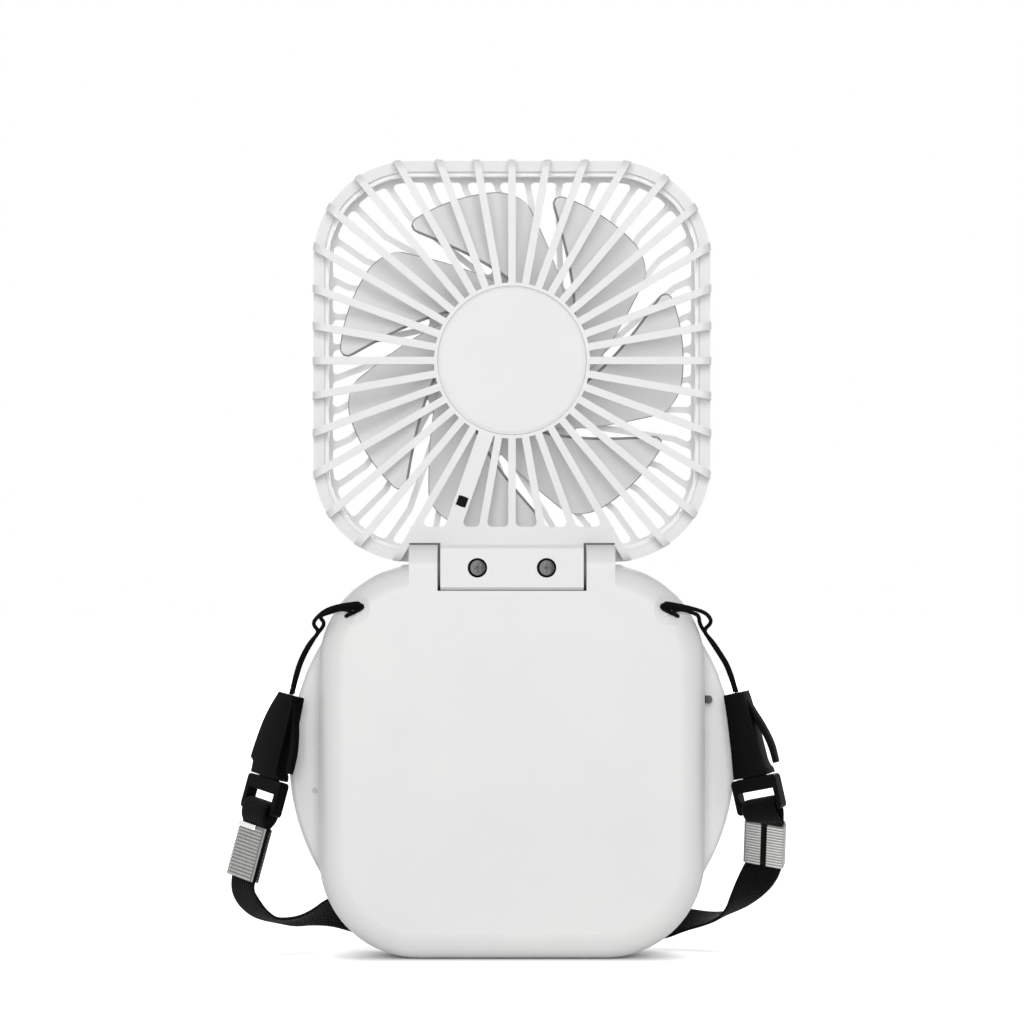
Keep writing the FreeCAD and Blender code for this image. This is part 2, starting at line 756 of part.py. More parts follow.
def draw_slot(sketch, middle_y, middle_z, half_length, radius):
    # Upright slot with round ends
    y, z, h, r = middle_y.number, middle_z.number, (half_length - radius).number, radius.number
    normal = Vec(0, 0, 1)
    first = len(sketch.Geometry)
    sketch.addGeometry([
        Part.LineSegment(Vec(y + r, z - h, 0), Vec(y + r, z + h, 0)),
        Part.ArcOfCircle(Part.Circle(Vec(y, z + h, 0), normal, r), 0, math.pi),
        Part.LineSegment(Vec(y - r, z + h, 0), Vec(y - r, z - h, 0)),
        Part.ArcOfCircle(Part.Circle(Vec(y, z - h, 0), normal, r), math.pi, 2 * math.pi),
    ])
    for index in range(4):
        sketch.addConstraint(Sketcher.Constraint("Tangent", first + index, 2, first + (index + 1) % 4, 1))
    sketch.addConstraint(Sketcher.Constraint("Vertical", first))
    hold_radius(sketch, first + 1, radius)
    hold(sketch, "DistanceX", (origin_point, (first + 1, 3)), middle_y)
    hold(sketch, "DistanceY", (origin_point, (first + 1, 3)), middle_z + half_length - radius)
    hold(sketch, "DistanceY", (origin_point, (first + 3, 3)), middle_z - half_length + radius)


draw_slot(sketch, port_mid_y, size("port_height"), port_half, size("port_depth") / 2)
pad(port_shell, sketch, size("port_length"), "port_pad")
sketch = sketch_on(port_shell, "YZ_Plane", "port_bore_outline", port_x + size("port_fit"))
draw_slot(sketch, port_mid_y, size("port_height"), port_half - size("port_wall"),
          size("port_depth") / 2 - size("port_wall"))
pocket(port_shell, sketch, size("port_length") - size("port_wall") * 3, "port_bore", reverse=True)
sketch = sketch_on(port_shell, "YZ_Plane", "port_tongue_outline", port_x + size("port_wall") * 4)
draw_box(sketch, port_mid_y - size("port_wall"), port_mid_y + size("port_wall"),
         size("port_height") - size("port_width") * 0.36, size("port_height") + size("port_width") * 0.36)
pad(port_shell, sketch, size("port_length") - size("port_wall") * 4, "port_tongue")
finish("usb_port", port_shell)

light = cylinder("indicator_light", size("light_radius"), size("board_gap"), -size("light_x"),
                 y_brim, size("light_height"), along_y)
finish("indicator_light", light)

switch_body = box("switch_body", size("switch_size"), size("switch_depth"), size("switch_size"),
                  -(size("switch_size") / 2), board_y + size("board_depth"),
                  size("button_height") - size("switch_size") / 2)
button_inner = y_back - size("wall")
stem_end = button_inner - size("button_flange_depth") - size("button_travel") - size("button_gap")
plunger_length = stem_end - board_y - size("board_depth") - size("switch_depth")
plunger = cylinder("switch_plunger", size("switch_size") * 0.27, plunger_length - size("button_travel") - size("button_rest"), 0.0,
                   board_y + size("board_depth") + size("switch_depth"), size("button_height"), along_y)
finish("tactile_switch", fuse("tactile_switch", [switch_body, plunger]))

# Power button: revolved cap with a flange that stops behind the dish wall
button = new_body("power_button")
sketch = sketch_on(button, "YZ_Plane", "button_profile")
b_top = y_back - size("button_sink")
b_flange_out = button_inner - size("button_rest")
b_flange_in = b_flange_out - size("button_flange_depth")
b_r = size("button_radius").number
b_f = b_r + size("button_gap").number + size("button_flange").number
b_z = size("button_height").number
draw_outline(sketch, [
    (stem_end.number, b_z), (stem_end.number, b_z + b_r * 0.45), (b_flange_in.number, b_z + b_r * 0.45),
    (b_flange_in.number, b_z + b_f), (b_flange_out.number, b_z + b_f), (b_flange_out.number, b_z + b_r),
    (b_top.number, b_z + b_r), (b_top.number - 0.35, b_z + b_r * 0.5), (b_top.number - 0.45, b_z),
])
line_index = sketch.addGeometry(Part.LineSegment(Vec(0, b_z, 0), Vec(10, b_z, 0)), True)
turn = button.newObject("PartDesign::Revolution", "button_turn")
turn.Profile = sketch
turn.ReferenceAxis = (sketch, ["Axis0"])
turn.Angle = 360
finish("power_button", button)

# Hinge pins, washers, clamp and clamp screws
pin_start = size("tab_width") / 2 - size("pin_reach")
pin_end = ear_gap + size("ear_bore_depth") - size("side_gap")
pins = []
washers = []
for side in (-1, 1):
    start = pin_start if side > 0 else -pin_end
    pins.append(cylinder("hinge_pin_%d" % (side + 1), size("pin_radius"), pin_end - pin_start, start, axis_y,
                         axis_z, along_x))
    middle = (size("tab_width") / 2 + size("side_gap") / 2) * side
    thick = size("side_gap") - size("washer_gap") * 2
    washer_x = middle - thick / 2
    ring = cylinder("washer_ring_%d" % (side + 1), size("washer_radius"), thick, washer_x, axis_y, axis_z, along_x)
    hole = cylinder("washer_hole_%d" % (side + 1), size("pin_radius") + size("pin_fit"), thick, washer_x, axis_y,
                    axis_z, along_x)
    washers.append(cut("hinge_washer_%d" % (side + 1), ring, hole))
compound = doc.addObject("Part::Compound", "hinge_pins")
compound.Links = pins
finish("hinge_pins", compound)
compound = doc.addObject("Part::Compound", "hinge_washers")
compound.Links = washers
finish("hinge_washers", compound)

tab_half = size("tab_width") / 2
pin_bores = []
for side in (-1, 1):
    start = pin_start - size("side_gap") if side > 0 else -tab_half
    pin_bores.append(cylinder("tab_bore_%d" % (side + 1), size("pin_radius") + size("pin_fit"),
                              size("pin_reach") + size("side_gap"), start, axis_y, axis_z, along_x))
screw_holes = []
screw_recesses = []
hinge_screw_items = []
recess_floor = y_front + size("screw_recess_depth")
for side in (-1, 1):
    x = size("screw_spacing") * (side / 2)
    screw_holes.append(cylinder("screw_hole_%d" % (side + 1), size("screw_radius") + size("screw_fit"),
                                size("barrel_radius") * 1.75, x, y_front, axis_z, along_y))
    screw_recesses.append(cylinder("screw_recess_%d" % (side + 1), size("screw_recess_radius"),
                                   size("screw_recess_depth"), x, y_front, axis_z, along_y))
    hinge_screw_items.append(screw("hinge_screw_%d" % (side + 1), x, recess_floor - size("screw_head_height"), axis_z,
                                   size("screw_head_radius"), size("screw_head_height"), size("screw_radius"),
                                   size("barrel_radius"), along_y, 1))
compound = doc.addObject("Part::Compound", "hinge_screws")
compound.Links = hinge_screw_items
finish("hinge_screws", compound)
barrel_tools = fuse("barrel_tools", pin_bores + screw_holes + screw_recesses)

barrel_a = cylinder("barrel_back_round", size("barrel_radius"), size("tab_width"), -tab_half, axis_y, axis_z, along_x)
clamp_room = box("clamp_room", size("tab_width"), size("barrel_radius") * 2,
                 size("barrel_radius") * 2 + size("web_low"), -tab_half, axis_y + size("clamp_gap") / 2,
                 axis_z - size("barrel_radius") * 2 - size("clamp_gap"))
clamp_block = common("clamp_block", barrel_a, clamp_room)
finish("hinge_clamp", cut("hinge_clamp", clamp_block, barrel_tools))

# Rear guard: cage of ribs that wrap over the edge into a rim ring
guard_cup = new_body("guard_cup")
sketch = sketch_on(guard_cup, "XZ_Plane", "guard_outline", -head_y)
draw_rounded(sketch, size("head_width") / 2, head_low, head_high, size("head_corner"))
guard_pad = pad(guard_cup, sketch, size("cage_depth") + size("rim_depth"), "guard_pad", reverse=True)
doc.recompute()
guard_round = fillet(guard_cup, guard_pad, level_edges(guard_pad.Shape, "Y", head_y.number), size("head_edge"),
                     "guard_round")
sketch = sketch_on(guard_cup, "XZ_Plane", "guard_hollow_outline", -y_rim)
draw_rounded(sketch, size("head_width") / 2 - size("rim_width"), head_low + size("rim_width"),
             head_high - size("rim_width"), size("head_corner") - size("rim_width"))
pocket(guard_cup, sketch, size("cage_depth") + size("rim_depth") - size("rib_depth"), "guard_hollow", reverse=True)
doc.recompute()

rib_reach = size("head_width") + size("head_height")
blades = []
half_ribs = int(size("rib_count").number) // 2
for index in range(half_ribs):
    angle = 360.0 * index / size("rib_count").number
    turn_rib = Rot(Vec(0, 1, 0), -angle)
    corner = turn_rib.multVec(Vec(-rib_reach.number / 2, 0, -size("rib_width").number / 2))
    blade = Part.makeBox(rib_reach.number, size("cage_depth").number + size("rim_depth").number,
                         size("rib_width").number)
    blade.Placement = Place(corner + Vec(0, head_y.number, head_z.number), turn_rib)
    blades.append(blade)
rib_star = made("rib_star", blades[0].multiFuse(blades[1:]))
rib_cage = common("rib_cage", guard_cup, rib_star)
rim_slab = box("rim_slab", size("head_width") * 1.2, size("rim_depth"), size("head_height") * 1.2,
               -(size("head_width") * 0.6), head_y + size("cage_depth"), head_low - size("head_height") * 0.1)
guard_cup_rim = made("guard_cup_rim", guard_cup.Shape.copy())
rim_ring = common("rim_ring", guard_cup_rim, rim_slab)
strip_slab = box("strip_slab", hinge_half * 2, size("cage_depth"), size("strip_height"), -hinge_half, head_y, head_low)
guard_cup_strip = made("guard_cup_strip", guard_cup.Shape.copy())
strip = common("strip", guard_cup_strip, strip_slab)
hub_disc = cylinder("hub_disc", size("hub_radius"), size("hub_depth"), 0.0, head_y, head_z, along_y)
hub_recess = cylinder("hub_recess", size("cap_radius") + size("cap_fit"), size("cap_depth"), 0.0, head_y, head_z,
                      along_y)
wire_turn = Rot(Vec(0, 1, 0), -size("wire_rib_angle").number)
wire_length = size("head_height") * 0.5 - size("hub_radius") * 0.8


def wire_box(name, width, depth, start_radius, length, y_start):
    # Bar that lies along the wire rib's direction from the hub
    corner = wire_turn.multVec(Vec(number_of(start_radius), 0, -number_of(width) / 2))
    shape = Part.makeBox(number_of(length), number_of(depth), number_of(width))
    shape.Placement = Place(corner + Vec(0, number_of(y_start), head_z.number), wire_turn)
    return made(name, shape)


wire_rib = wire_box("wire_rib", size("wire_rib_width"), size("wire_rib_depth"), size("hub_radius") * 0.8,
                    wire_length, head_y)
wire_groove = wire_box("wire_groove", size("wire_groove_width"), size("wire_groove_depth"),
                       size("hub_radius") * 0.8, wire_length - size("strip_height") * 0.3,
                       head_y + size("wire_rib_depth") - size("wire_groove_depth"))
wire_window = wire_box("wire_window", size("window_size"), size("wire_rib_depth"),
                       size("window_radius") - size("window_size") / 2, size("window_size"), head_y)
web = box("hinge_web", size("tab_width"), head_y + size("rib_depth") - axis_y,
          size("barrel_radius") - size("web_low") - size("web_trim"), -tab_half, axis_y, axis_z + size("web_low"))
barrel_b = cylinder("barrel_front_round", size("barrel_radius"), size("tab_width"), -tab_half, axis_y, axis_z, along_x)
clamp_space = box("clamp_space", size("tab_width"), size("barrel_radius") * 2,
                  size("barrel_radius") * 2 + size("web_low"), -tab_half, axis_y,
                  axis_z - size("barrel_radius") * 2)
barrel_front = cut("barrel_front", barrel_b, clamp_space)
block_room = box("block_room", size("tab_width"), size("barrel_radius"), size("block_radius") + size("barrel_radius"),
                 -tab_half, y_front, axis_z - size("block_radius"))
block_sweep = cylinder("block_sweep", size("block_radius"), size("tab_width"), -tab_half, axis_y, axis_z, along_x)
front_block = common("front_block", block_room, block_sweep)


def strip_corners():
    # Rounded feet for the slots that end on the bottom strip
    half = hinge_half.number
    low = (head_low + size("strip_height")).number - head_z.number
    tall = size("strip_round").number * 8
    bars_2d = []
    for index in range(int(size("rib_count").number)):
        angle = 360.0 * index / size("rib_count").number
        wide = size("rib_width").number / 2
        corners = [Vec(0, 0, -wide), Vec(rib_reach.number, 0, -wide), Vec(rib_reach.number, 0, wide), Vec(0, 0, wide)]
        turned = [Rot(Vec(0, 1, 0), -angle).multVec(corner) for corner in corners]
        bars_2d.append(Part.Face(Part.makePolygon(turned + turned[:1])))
    wide = size("wire_rib_width").number / 2
    corners = [Vec(0, 0, -wide), Vec(rib_reach.number, 0, -wide), Vec(rib_reach.number, 0, wide), Vec(0, 0, wide)]
    turned = [wire_turn.multVec(corner) for corner in corners]
    bars_2d.append(Part.Face(Part.makePolygon(turned + turned[:1])))
    field = [Vec(-half, 0, low), Vec(half, 0, low), Vec(half, 0, low + tall), Vec(-half, 0, low + tall)]
    cells = Part.Face(Part.makePolygon(field + field[:1])).cut(bars_2d).Faces
    foot = [Vec(-half, 0, low), Vec(half, 0, low), Vec(half, 0, low + tall * 0.4), Vec(-half, 0, low + tall * 0.4)]
    foot_face = Part.Face(Part.makePolygon(foot + foot[:1]))
    radius = size("strip_round").number
    corners_made = []
    for cell in cells:
        if cell.BoundBox.XLength < radius * 3 or abs(cell.CenterOfMass.x) > half * 0.8:
            continue
        rounded = cell.makeOffset2D(-radius).makeOffset2D(radius)
        for left_over in cell.common(foot_face).cut(rounded).Faces:
            if left_over.Area > 0.02:
                corners_made.append(left_over.extrude(Vec(0, size("rib_depth").number, 0)))
    made_shape = Part.makeCompound(corners_made)
    made_shape.translate(Vec(0, head_y.number, head_z.number))
    return made_shape


slot_feet = made("slot_feet", strip_corners())
guard_sum = fuse("guard_sum", [rib_cage, rim_ring, strip, hub_disc, wire_rib, web, barrel_front, front_block, slot_feet])
sleeve_hole = cylinder("sleeve_hole", size("sleeve_radius") + size("shaft_fit"), size("hub_depth"), 0.0, head_y,
                       head_z, along_y)
guard_tools = fuse("guard_tools", [barrel_tools, hub_recess, wire_groove, wire_window, sleeve_hole])
finish("rear_guard", cut("rear_guard", guard_sum, guard_tools))

# Cap in the hub ring, with a fine turned line
cap = new_body("motor_cap")
sketch = sketch_on(cap, "XZ_Plane", "cap_outline", -head_y)
draw_circle(sketch, 0, head_z, size("cap_radius"))
pad(cap, sketch, size("cap_depth"), "cap_pad", reverse=True)
sketch = sketch_on(cap, "XZ_Plane", "cap_line_outline", -head_y)
draw_circle(sketch, 0, head_z, size("cap_line_radius"))
draw_circle(sketch, 0, head_z, size("cap_line_radius") - size("cap_line_width"))
pocket(cap, sketch, size("cap_line_depth"), "cap_line")
finish("motor_cap", cap)

# Front guard: cup with a stepped lip that plugs into the rim ring
cup = new_body("front_cup")
sketch = sketch_on(cup, "XZ_Plane", "cup_outline", -y_rim)
draw_rounded(sketch, size("head_width") / 2, head_low, head_high, size("head_corner"))
cup_pad = pad(cup, sketch, size("cup_depth"), "cup_pad", reverse=True)
doc.recompute()
cup_round = fillet(cup, cup_pad, level_edges(cup_pad.Shape, "Y", y_face.number), size("cup_edge"), "cup_round")
lip_out = size("rim_width") + size("lip_fit")
lip_in = lip_out + size("lip_width")
sketch = sketch_on(cup, "XZ_Plane", "lip_outline", -y_rim)
draw_rounded(sketch, size("head_width") / 2 - lip_out, head_low + lip_out, head_high - lip_out,
             size("head_corner") - lip_out)
pad(cup, sketch, size("lip_reach"), "lip_pad")
sketch = sketch_on(cup, "XZ_Plane", "lip_hollow_outline", -(y_rim - size("lip_reach")))
draw_rounded(sketch, size("head_width") / 2 - lip_in, head_low + lip_in, head_high - lip_in,
             size("head_corner") - lip_in)
pocket(cup, sketch, size("lip_reach") + size("shelf_depth"), "lip_hollow")
sketch = sketch_on(cup, "XZ_Plane", "cup_hollow_outline", -(y_rim + size("shelf_depth")))
draw_rounded(sketch, size("head_width") / 2 - size("cup_wall"), head_low + size("cup_wall"),
             head_high - size("cup_wall"), size("head_corner") - size("cup_wall"))
pocket(cup, sketch, size("cup_depth") - size("shelf_depth") - size("cup_face"), "cup_hollow")
doc.recompute()


def polar(radius, angle):
    return Vec(radius * math.cos(math.radians(angle)), 0, radius * math.sin(math.radians(angle)))


def swirl_face(start_angle):
    # One swirled rib: leans at the hub and straightens towards the rim
    inner = size("front_hub_radius").number - 1.0
    outer = size("head_width").number / 2 - size("slot_margin").number
    far = rib_reach.number * 0.36
    half = size("swirl_rib_width").number / 2
    left = []
    right = []
    for share in (0.0, 0.5, 1.0):
        radius = inner + (outer - inner) * share
        angle = start_angle + size("swirl_angle").number * (1 - (1 - share) ** 2)
        slope = size("swirl_angle").number * 2 * (1 - share) / (outer - inner)
        direction = polar(1, angle) + polar(radius * math.radians(slope), angle + 90)
        direction.normalize()
        side = Vec(-direction.z, 0, direction.x)
        left.append(polar(radius, angle) + side * half)
        right.append(polar(radius, angle) - side * half)
    end_angle = start_angle + size("swirl_angle").number
    end_left = left[-1] + polar(far - outer, end_angle)
    end_right = right[-1] + polar(far - outer, end_angle)
    edges = [Part.Arc(left[0], left[1], left[2]).toShape(), Part.makeLine(left[2], end_left),
             Part.makeLine(end_left, end_right), Part.makeLine(end_right, right[2]),
             Part.Arc(right[2], right[1], right[0]).toShape(), Part.makeLine(right[0], left[0])]
    return Part.Face(Part.Wire(Part.__sortEdges__(edges)))


def rounded_face(half_width, half_height, corner):
    # Flat rounded rectangle about the middle of the head
    w, h, r = half_width, half_height, corner
    k = r * (1 - math.sqrt(0.5))
    edges = [
        Part.makeLine(Vec(-w + r, 0, -h), Vec(w - r, 0, -h)),
        Part.Arc(Vec(w - r, 0, -h), Vec(w - k, 0, -h + k), Vec(w, 0, -h + r)).toShape(),
        Part.makeLine(Vec(w, 0, -h + r), Vec(w, 0, h - r)),
        Part.Arc(Vec(w, 0, h - r), Vec(w - k, 0, h - k), Vec(w - r, 0, h)).toShape(),
        Part.makeLine(Vec(w - r, 0, h), Vec(-w + r, 0, h)),
        Part.Arc(Vec(-w + r, 0, h), Vec(-w + k, 0, h - k), Vec(-w, 0, h - r)).toShape(),
        Part.makeLine(Vec(-w, 0, h - r), Vec(-w, 0, -h + r)),
        Part.Arc(Vec(-w, 0, -h + r), Vec(-w + k, 0, -h + k), Vec(-w + r, 0, -h)).toShape(),
    ]
    return Part.Face(Part.Wire(edges))


margin = size("slot_margin").number
slot_field = rounded_face(size("head_width").number / 2 - margin, size("head_height").number / 2 - margin,
                          size("head_corner").number - margin)
hub_circle = Part.Face(Part.Wire(Part.makeCircle(size("front_hub_radius").number, Vec(0, 0, 0), Vec(0, 1, 0))))
swirl_ribs = []
for index in range(int(size("rib_count").number)):
    swirl_ribs.append(swirl_face(360.0 * (index + 0.5) / size("rib_count").number - size("swirl_angle").number))
slot_faces = slot_field.cut([hub_circle] + swirl_ribs).Faces
slot_solids = []
round_size = size("slot_round").number
for face in slot_faces:
    shrunk = face.makeOffset2D(-round_size)
    grown = shrunk.makeOffset2D(round_size)
    slot_solids.append(grown.Faces[0].extrude(Vec(0, size("cup_face").number * 4, 0)))
slots = Part.makeCompound(slot_solids)
slots.translate(Vec(0, y_face.number - size("cup_face").number * 2, head_z.number))
slot_tool = made("slot_tool", slots)
cup_slotted = cut("cup_slotted", cup, slot_tool)
front_recess = cylinder("front_recess", size("front_cap_radius") + size("front_cap_fit"), size("front_cap_depth"), 0.0,
                        y_face - size("front_cap_depth"), head_z, along_y)
finish("front_guard", cut("front_guard", cup_slotted, front_recess))
front_cap = cylinder("front_cap", size("front_cap_radius"), size("front_cap_depth"), 0.0,
                     y_face - size("front_cap_depth"), head_z, along_y)
finish("front_cap", front_cap)

# Impeller: hub cup with lofted, swept blades, trimmed to a rounded sweep
hub_y = head_y + size("hub_cup_start")
hub_end = hub_y + size("hub_cup_depth")
blade_y = head_y + size("blade_start")
blade_end = blade_y + size("blade_depth")
hub_cup = new_body("hub_cup")
sketch = sketch_on(hub_cup, "XZ_Plane", "hub_outline", -hub_y)
draw_circle(sketch, 0, head_z, size("hub_cup_radius"))
hub_pad = pad(hub_cup, sketch, size("hub_cup_depth"), "hub_pad", reverse=True)
doc.recompute()
fillet(hub_cup, hub_pad, level_edges(hub_pad.Shape, "Y", hub_end.number), size("hub_cup_edge"), "hub_round")
sketch = sketch_on(hub_cup, "XZ_Plane", "hub_hollow_outline", -hub_y)
draw_circle(sketch, 0, head_z, size("hub_cup_radius") - size("hub_cup_wall"))
pocket(hub_cup, sketch, size("hub_cup_depth") - size("hub_cup_wall"), "hub_hollow")
doc.recompute()


def blade_section(radius):
    # Cambered section on a flat plane square to the blade's own radius
    share = (radius - size("hub_cup_radius").number) / (size("tip_radius").number - size("hub_cup_radius").number)
    half_span = size("blade_span").number / 2
    lead = size("blade_sweep").number * (share - 0.5)
    near = math.tan(math.radians(half_span)) * radius
    shift = math.tan(math.radians(lead)) * radius
    y_near = blade_y.number
    y_far = blade_end.number
    camber = 0.08 * (y_far - y_near)
    start = Vec(radius, y_near, shift + near)
    end = Vec(radius, y_far, shift - near)
    chord = end - start
    side = Vec(0, -chord.z, chord.y)
    side.normalize()
    middle = (start + end) * 0.5 - side * camber
    half = size("blade_thickness").number / 2
    outer = Part.Arc(start + side * half, middle + side * half, end + side * half).toShape()
    inner = Part.Arc(end - side * half, middle - side * half, start - side * half).toShape()
    edges = [outer, Part.makeLine(end + side * half, end - side * half), inner,
             Part.makeLine(start - side * half, start + side * half)]
    return Part.Wire(edges)


root_radius = size("hub_cup_radius").number - size("hub_cup_wall").number * 0.5
stations = [root_radius + (size("tip_radius").number * 1.04 - root_radius) * share for share in (0, 0.34, 0.67, 1.0)]
one_blade = Part.makeLoft([blade_section(radius) for radius in stations], True, False)
tip = size("tip_radius").number
tip_round = min(size("tip_round").number, size("blade_depth").number * 0.45)
low_y = blade_y.number - size("blade_thickness").number
high_y = blade_end.number + size("blade_thickness").number
inner_r = root_radius
bevel = math.sqrt(0.5)
trim_edges = [
    Part.makeLine(Vec(inner_r, low_y, 0), Vec(tip - tip_round, low_y, 0)),
    Part.Arc(Vec(tip - tip_round, low_y, 0), Vec(tip - tip_round * (1 - bevel), low_y + tip_round * (1 - bevel), 0),
             Vec(tip, low_y + tip_round, 0)).toShape(),
    Part.makeLine(Vec(tip, low_y + tip_round, 0), Vec(tip, high_y - tip_round, 0)),
    Part.Arc(Vec(tip, high_y - tip_round, 0), Vec(tip - tip_round * (1 - bevel), high_y - tip_round * (1 - bevel), 0),
             Vec(tip - tip_round, high_y, 0)).toShape(),
    Part.makeLine(Vec(tip - tip_round, high_y, 0), Vec(inner_r, high_y, 0)),
    Part.makeLine(Vec(inner_r, high_y, 0), Vec(inner_r, low_y, 0)),
]
trim_ring = Part.Face(Part.Wire(trim_edges)).revolve(Vec(0, 0, 0), Vec(0, 1, 0), 360)
trimmed = one_blade.common(trim_ring)
blade_shapes = []
for index in range(int(size("blade_count").number)):
    copy = trimmed.copy()
    copy.rotate(Vec(0, 0, 0), Vec(0, 1, 0), -(360.0 * index / size("blade_count").number + size("blade_turn").number))
    copy.translate(Vec(0, 0, head_z.number))
    blade_shapes.append(copy)
blade_ring = made("blade_ring", Part.makeCompound(blade_shapes))
shaft_end = hub_end - size("hub_cup_wall")
boss_of_hub = cylinder("hub_boss", size("sleeve_radius"), size("hub_cup_wall") * 2, 0.0,
                       hub_end - size("hub_cup_wall") * 2.5, head_z, along_y)
impeller_sum = fuse("impeller_sum", [hub_cup, blade_ring, boss_of_hub])
shaft_bore = cylinder("shaft_bore", size("shaft_radius") + size("pin_seat"), size("hub_cup_wall") * 2, 0.0,
                      shaft_end - size("hub_cup_wall") * 2, head_z, along_y)
finish("impeller", cut("impeller", impeller_sum, shaft_bore))

shaft_start = head_y + size("cap_depth") + size("cap_fit") * 3
finish("motor_shaft", cylinder("motor_shaft", size("shaft_radius"), shaft_end - shaft_start, 0.0, shaft_start, head_z,
                               along_y))
magnet_out = size("hub_cup_radius") - size("hub_cup_wall") - size("magnet_fit")
magnet_in = magnet_out - size("magnet_width")
magnet_y = hub_end - size("hub_cup_wall") * 2 - size("magnet_depth")
magnet_body = cylinder("magnet_body", magnet_out, size("magnet_depth"), 0.0, magnet_y, head_z, along_y)
magnet_hole = cylinder("magnet_hole", magnet_in, size("magnet_depth"), 0.0, magnet_y, head_z, along_y)
finish("magnet_ring", cut("magnet_ring", magnet_body, magnet_hole))

# Stator: ring with T-shaped teeth in a polar pattern, a coil round each tooth, a bearing sleeve inside
stator_r = magnet_in - size("air_gap")
stator_y = head_y + size("stator_start")
stator = new_body("stator_core")
sketch = sketch_on(stator, "XZ_Plane", "stator_ring_outline", -stator_y)
draw_circle(sketch, 0, 0, size("stator_ring"))
pad(stator, sketch, size("stator_depth"), "stator_ring_pad", reverse=True)
sketch = sketch_on(stator, "XZ_Plane", "tooth_outline", -stator_y)
tooth_half = size("tooth_width") / 2
tip_half = stator_r.number * math.sin(math.pi / size("tooth_count").number) * 0.82
tip_flat = math.sqrt(stator_r.number ** 2 - tip_half ** 2)
neck = tip_flat - size("tooth_tip").number
draw_outline(sketch, [(tooth_half.number, 0), (tooth_half.number, neck), (tip_half, neck), (tip_half, tip_flat),
                      (-tip_half, tip_flat), (-tip_half, neck), (-tooth_half.number, neck), (-tooth_half.number, 0)])
tooth = pad(stator, sketch, size("stator_depth"), "tooth_pad", reverse=True)
doc.recompute()
tooth_axis = [item for item in stator.Origin.OriginFeatures if item.Role == "Y_Axis"][0]
teeth = stator.newObject("PartDesign::PolarPattern", "teeth")
teeth.Originals = [tooth]
teeth.Axis = (tooth_axis, [""])
teeth.Angle = 360
bind(teeth, "Occurrences", size("tooth_count"))
stator.Tip = teeth
sketch = sketch_on(stator, "XZ_Plane", "stator_bore_outline", -stator_y)
draw_circle(sketch, 0, 0, size("sleeve_radius") + size("pin_seat"))
pocket(stator, sketch, size("stator_depth"), "stator_bore")
set_place(stator, 0.0, 0.0, head_z)
finish("stator_core", stator)

coil_shapes = []
coil_inner = size("stator_ring").number + 0.3
coil_outer = neck - 0.2
for index in range(int(size("tooth_count").number)):
    outer_block = Part.makeBox(size("tooth_width").number + 2 * size("coil_wall").number,
                               size("stator_depth").number + 2 * size("coil_wall").number * 0.6, coil_outer - coil_inner)
    outer_block.translate(Vec(-size("tooth_width").number / 2 - size("coil_wall").number,
                              stator_y.number - size("coil_wall").number * 0.6, coil_inner))
    side_edges = [edge for edge in outer_block.Edges if abs(edge.BoundBox.ZLength) > 1e-6]
    outer_block = outer_block.makeFillet(size("coil_wall").number * 0.5, side_edges)
    inner_block = Part.makeBox(size("tooth_width").number + 0.1, size("stator_depth").number + 0.1,
                               coil_outer - coil_inner)
    inner_block.translate(Vec(-size("tooth_width").number / 2 - 0.05, stator_y.number - 0.05, coil_inner))
    coil = outer_block.cut(inner_block)
    coil.rotate(Vec(0, 0, 0), Vec(0, 1, 0), -360.0 * index / size("tooth_count").number)
    coil.translate(Vec(0, 0, head_z.number))
    coil_shapes.append(coil)
finish("stator_coils", made("stator_coils", Part.makeCompound(coil_shapes)))

sleeve_start = head_y + size("cap_depth")
sleeve_end = stator_y + size("stator_depth") + size("coil_wall")
sleeve_round = cylinder("sleeve_round", size("sleeve_radius"), sleeve_end - sleeve_start, 0.0, sleeve_start, head_z,
                        along_y)
sleeve_bore = cylinder("sleeve_bore", size("shaft_radius") + size("shaft_fit"), sleeve_end - sleeve_start, 0.0,
                       sleeve_start, head_z, along_y)
finish("bearing_sleeve", cut("bearing_sleeve", sleeve_round, sleeve_bore))

lead_y = head_y + size("wire_rib_depth") - size("lead_radius") - 0.2
lead_dir = wire_turn.multVec(Vec(1, 0, 0))
lead_start = Vec(0, lead_y.number, head_z.number) + lead_dir * (size("hub_radius").number * 0.84)
lead_length = wire_length.number - size("strip_height").number * 0.45
lead_core = Part.makeCylinder(size("lead_radius").number, lead_length, lead_start, lead_dir)
boot_size = size("window_size") - size("cap_fit") * 2
lead_boot = wire_box("lead_boot", boot_size, lead_y - head_y - size("cap_fit") * 4,
                     size("window_radius") - boot_size / 2, boot_size, head_y + size("cap_fit") * 4)
finish("motor_lead", made("motor_lead", lead_core.fuse(lead_boot.Shape).removeSplitter()))


# Lanyard buckles, drawn in their own frame: x across, y through, z up, origin at the cord end
side_x = size("base_width").number / 2
left_top = Vec(-side_x - 6.8, -5.0, base_mid.number + 16.0)
left_turn = Rot(Vec(0, 1, 0), 15.0) * Rot(Vec(0, 0, 1), -46.0)
right_top = Vec(side_x + 7.7, -5.0, base_mid.number + 16.5)
right_turn = Rot(Vec(0, 1, 0), -12.5) * Rot(Vec(0, 0, 1), -27.0)
left_place = Place(left_top, left_turn)
right_place = Place(right_top, right_turn)
socket_low = -size("socket_length")
frame_top = socket_low - size("frame_gap")
frame_low = frame_top - size("frame_height")
bar_z = frame_low + size("frame_bar_radius")
crimp_top = frame_low - size("strap_thickness") - 2.4
crimp_low = crimp_top - size("crimp_length")


